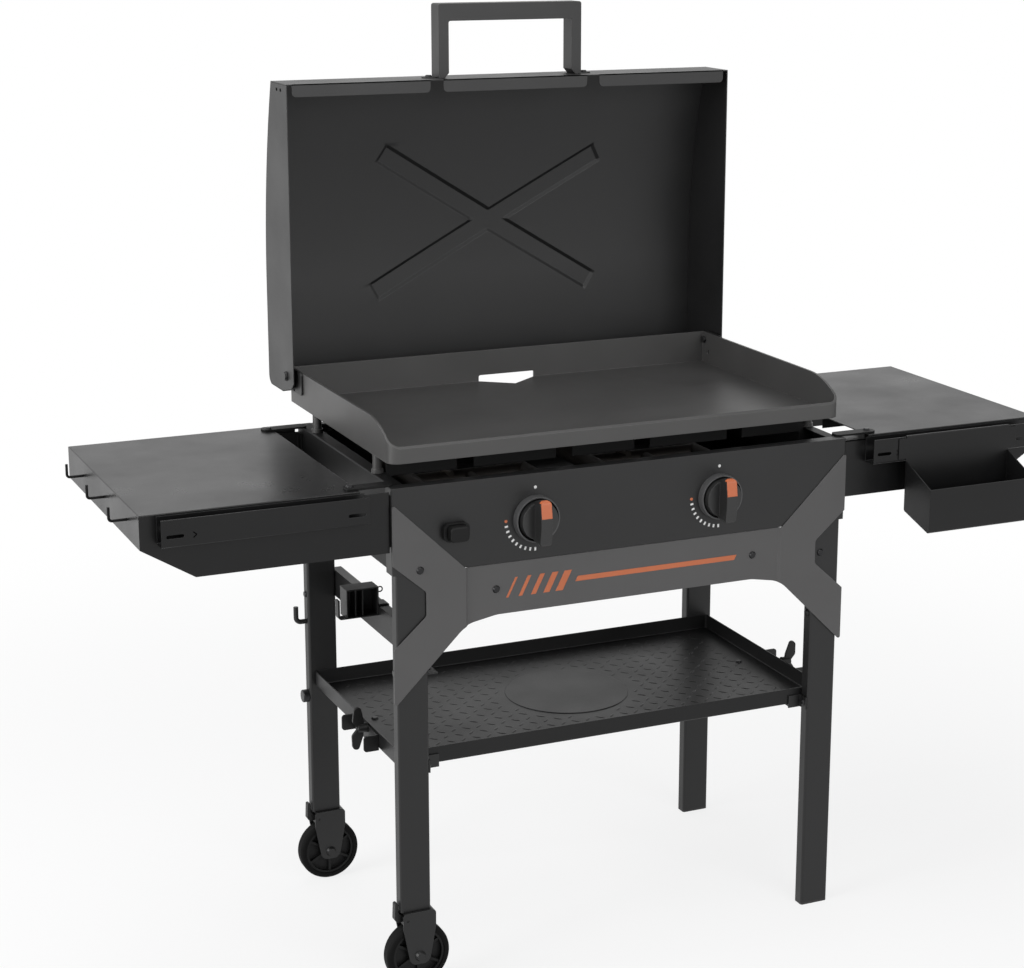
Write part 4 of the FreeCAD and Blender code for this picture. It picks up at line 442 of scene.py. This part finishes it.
# Dial marks: round each knob an orange dot at the left where the flame starts high, white
# strokes from there down to low, and a white dot above for off, all printed on the panel.
white_print = coat("white print", (0.70, 0.70, 0.69), 0.5, wear_and_highlight=1.0, pebble_height=0.00001)
dial_x = 0.153
dial_face = -0.2185
dial_z = 0.711
dial_radius = 0.047
off_turn, high_turn, low_turn = -90, -180, -270
stroke_turn = -10
stroke = (0.0052, 2 * film, 0.0030)
dot_radius = 0.0024
marks = bmesh.new()
starts = bmesh.new()
for hub_x in (-dial_x, dial_x):
    hub = Matrix.Translation((hub_x, dial_face, dial_z))
    out = Matrix.Translation((dial_radius, 0, 0))
    for turn in range(high_turn + stroke_turn, low_turn + stroke_turn, stroke_turn):
        block(marks, hub @ Matrix.Rotation(math.radians(turn), 4, "Y") @ out, stroke)
    for dots, turn in ((marks, off_turn), (starts, high_turn)):
        facing_out = Matrix.Rotation(math.radians(90), 4, "X")
        bmesh.ops.create_cone(dots, cap_ends=True, segments=16, radius1=dot_radius,
                              radius2=dot_radius, depth=2 * film,
                              matrix=hub @ Matrix.Rotation(math.radians(turn), 4, "Y") @ out @ facing_out)
piece_of(marks, "dial_marks", white_print, "station")
piece_of(starts, "dial_starts", orange_print, "station")

# Shelves: black coated sheet folded down into deep skirts, on brackets bolted to the legs and
# linked to the cabinet's corners. Each has a rail on its front, the left one three bent hooks
# at its end, and the right rail carries a folded bin.
shelf_coat = coat("shelf coat", (0.006, 0.006, 0.0062), 0.32, specular=0.27)
link_coat = coat("link coat", (0.005, 0.005, 0.005), 0.5, specular=0.15, wear_and_highlight=1.5)
finish(shelf_coat, "left_shelf", "accessory_rails", "tool_bin")
finish(link_coat, "shelf_brackets", "tool_hooks", "corner_links")

# Right shelf: one sheet folded down at front, back and end over two ribs. Its inner edge is
# a plain cut one, so the floor shows between it and the cabinet, and a short lap behind the
# front skirt closes the corner.
shelf_low, shelf_high = (Vector(corner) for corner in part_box("right_shelf"))
shelf_inner = 0.422
corner_run = 0.077
end_skirt = 0.049
skirt_drop = 0.006
skirt_top = shelf_high.z - skirt_drop
bm = bmesh.new()
outline = [bm.verts.new((x, shelf_low.y, z)) for x, z in (
    (shelf_low.x, shelf_low.z), (shelf_high.x - corner_run, shelf_low.z),
    (shelf_high.x, shelf_high.z - end_skirt), (shelf_high.x, shelf_high.z),
    (shelf_inner, shelf_high.z), (shelf_inner, skirt_top), (shelf_low.x, skirt_top))]
drawn = bmesh.ops.extrude_face_region(bm, geom=[bm.faces.new(outline)], use_keep_orig=True)["geom"]
bmesh.ops.translate(bm, vec=(0, shelf_high.y - shelf_low.y, 0), verts=points_of(drawn))
bmesh.ops.recalc_face_normals(bm, faces=bm.faces)
open_faces = [face for face in bm.faces
              if abs(face.normal.y) < facing and face.normal.x < facing
              and not (face.normal.z > facing and face.calc_center_median().z > shelf_high.z - sheet)]
bmesh.ops.delete(bm, geom=open_faces, context="FACES_ONLY")
round_off(bm, [edge for edge in bm.edges if len(edge.link_faces) == 2], sheet, 3)
bmesh.ops.solidify(bm, geom=bm.faces[:], thickness=sheet)

# The ribs stand under the top from its inner edge to its end.
rib_places = (-0.0712, 0.0728)
rib_depth = 0.020
for rib_y in rib_places:
    block(bm, ((shelf_inner + shelf_high.x) / 2, rib_y, shelf_high.z - (rib_depth + sheet) / 2),
          (shelf_high.x - shelf_inner - 2 * sheet, sheet, rib_depth))
lap_past_edge = 0.012
lap_end = shelf_inner + lap_past_edge
lap_back = -0.184
block(bm, ((shelf_low.x + lap_end) / 2, (shelf_low.y + lap_back) / 2, skirt_top - sheet / 2),
      (lap_end - shelf_low.x, lap_back - shelf_low.y, sheet))
folded_shelf = piece_of(bm, "folded_shelf", shelf_coat, "station")
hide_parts("right_shelf")

# Rail arrows: a small chevron in matt black on each rail, beside the slot that an accessory
# hooks into first. The black is painted shade, standing for the shade in a pressed chevron.
chevron_shade_paint = coat("painted chevron shade", (0.001, 0.001, 0.001), 0.7, specular=0.02, wear_and_highlight=1.0,
                  pebble_height=0.00001)
rail_face = -0.2380
arrow_z = 0.752
arrow_tips = (-0.6665, 0.4625)
arrow_lean = 40
arrow_arm = (0.0062, 2 * film, 0.0016)
bm = bmesh.new()
for tip_x in arrow_tips:
    for lean in (-arrow_lean, arrow_lean):
        leaning = Matrix.Rotation(math.radians(lean), 4, "Y")
        halfway = Matrix.Translation((-arrow_arm[0] / 2, 0, 0))
        block(bm, Matrix.Translation((tip_x, rail_face, arrow_z)) @ leaning @ halfway, arrow_arm)
piece_of(bm, "rail_arrows", chevron_shade_paint, "station")

# Cooking plate: thick rolled steel, welded at its corners, oiled and darkened by heat. It
# stands loose over the burners on four feet and lifts off with its hood.
plate_steel = coat("plate steel", (0.058, 0.057, 0.056), 0.42, metallic=0.2,
                   pebble_height=0.00004, pebble_scale=300.0)
finish(plate_steel, "griddle_plate", "griddle_feet")

# Hood: black coated sheet bent over front, crown and back, with crossed grooves pressed out
# of the crown and a lip turned in at the front. Flat plates close its ends, a bar handle is
# bolted to the front, and brackets and pins hinge it on the plate.


def spread(start, end, steps):
    """Even steps from start that stop one short of end, where the next stretch begins."""
    return [start + (end - start) * step / steps for step in range(steps)]


hood_coat = coat("hood coat", (0.008, 0.008, 0.0082), 0.44)
finish(hood_coat, "hood_sides", "hood_handle")
finish(frame_coat, "hinge_brackets", "hinge_pins")
hood_half = 0.384
front_y = -0.226
flat_y = 0.100
back_y = 0.2645
rim_z = 0.818
shoulder_z = 0.896
crown_z = 0.946
back_edge_z = 0.874
back_bend = 0.015
crown_drop = crown_z - shoulder_z
crown_radius = ((flat_y - front_y) ** 2 + crown_drop ** 2) / (2 * crown_drop)
rise_steps, crown_steps, flat_steps, bend_steps = 4, 40, 12, 8
wide_steps = 24

# The closed hood from the side, as places along the sheet from its front rim to its back.
side_line = [(front_y, z) for z in spread(rim_z, shoulder_z, rise_steps)]
side_line += [(y, crown_z - crown_radius + math.sqrt(crown_radius ** 2 - (y - flat_y) ** 2))
              for y in spread(front_y, flat_y, crown_steps)]
side_line += [(y, crown_z) for y in spread(flat_y, back_y - back_bend, flat_steps)]
side_line += [(back_y - back_bend + back_bend * math.sin(angle),
               crown_z - back_bend + back_bend * math.cos(angle))
              for angle in spread(0.0, math.pi / 2, bend_steps)]
side_line += [(back_y, z) for z in spread(crown_z - back_bend, back_edge_z, rise_steps)]
side_line.append((back_y, back_edge_z))
long_steps = len(side_line) - 1
bm = bmesh.new()
bmesh.ops.create_grid(bm, x_segments=wide_steps, y_segments=long_steps, size=1.0)
for vert in bm.verts:
    y, z = side_line[round((vert.co.y + 1) / 2 * long_steps)]
    vert.co = (vert.co.x * hood_half, y, z)

# Grooves: four arms from the middle of the sheet towards its corners. Each is cut in along
# its edges and foot lines, and its floor is then pushed out.
groove_centre = Vector((0.002, 0.018, 0))
groove_tips = ((-0.1935, -0.103), (0.196, -0.088), (-0.2025, 0.1295), (0.1925, 0.1345))
groove_half = 0.018
groove_slope = 0.005
groove_depth = 0.0035
groove_foot = groove_half - groove_slope
cut_snap = 0.00001
arms = []
for tip in groove_tips:
    arm = Vector((*tip, 0)) - groove_centre
    outwards = arm.normalized()
    sideways = Vector((-outwards.y, outwards.x, 0))
    arms.append((outwards, sideways, arm.length))
    for direction, distance in ((sideways, groove_half), (sideways, groove_foot),
                                (sideways, -groove_half), (sideways, -groove_foot),
                                (outwards, arm.length), (outwards, arm.length - groove_slope)):
        crown_faces = [face for face in bm.faces if face.calc_center_median().z > shoulder_z]
        crown_edges = {edge for face in crown_faces for edge in face.edges}
        crown_points = {vert for face in crown_faces for vert in face.verts}
        bmesh.ops.bisect_plane(bm, geom=[*crown_faces, *crown_edges, *crown_points], dist=cut_snap,
                               plane_co=groove_centre + direction * distance, plane_no=direction)
for vert in bm.verts:
    if vert.co.z < shoulder_z:
        continue
    from_centre = Vector((vert.co.x, vert.co.y, 0)) - groove_centre
    inside = [min(groove_half - abs(from_centre.dot(sideways)), length - from_centre.dot(outwards))
              for outwards, sideways, length in arms if from_centre.dot(outwards) >= 0]
    share = max([0.0] + [min(1.0, depth / groove_slope) for depth in inside])
    vert.co.z += share * groove_depth
bmesh.ops.recalc_face_normals(bm, faces=bm.faces)
bmesh.ops.solidify(bm, geom=bm.faces[:], thickness=sheet)

# Lip: three tabs with rounded corners, turned in from the front rim, and a notch between
# them under each foot of the handle.
lip_depth = 0.020
lip_corner = 0.007
lip_inset = 0.009
lip_end = hood_half - lip_inset
notch_near, notch_far = 0.125, 0.147
lip_middle_y = front_y + lip_depth / 2
for lip_left, lip_right in ((-lip_end, -notch_far), (-notch_near, notch_near), (notch_far, lip_end)):
    lip = block(bm, ((lip_left + lip_right) / 2, lip_middle_y, rim_z + sheet / 2),
                (lip_right - lip_left, lip_depth, sheet))
    lip_corners = {edge for vert in lip for edge in vert.link_edges
                   if upright(edge) and edge.verts[0].co.y > lip_middle_y}
    round_off(bm, list(lip_corners), lip_corner, 6)

# The shape above is the closed hood, and it stands open as in the photograph.
hinge = Vector((0, 0.236, 0.854))
open_turn = -90
groove_crease = 18
bmesh.ops.rotate(bm, cent=hinge, matrix=Matrix.Rotation(math.radians(open_turn), 3, "X"), verts=bm.verts)
for face in bm.faces:
    face.smooth = True
pressed_hood = piece_of(bm, "pressed_hood", hood_coat, "hood")
pressed_hood.data.set_sharp_from_angle(angle=math.radians(groove_crease))
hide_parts("hood_shell")

# Grease cup: an open cup of folded, coated sheet under the plate's notch. Its lips slide on
# two folded runners on the rear panel, so it is drawn out at the back to be emptied.
finish(tray_coat, "grease_cup", "grease_rails")

# Bolts: domed heads in black oxide that hold legs, brace, cabinet and shelves together, and
# the two that hold the hood's handle.
black_oxide = coat("black oxide", (0.02, 0.02, 0.021), 0.35, metallic=0.6)
finish(black_oxide, "frame_bolts", "handle_bolts")
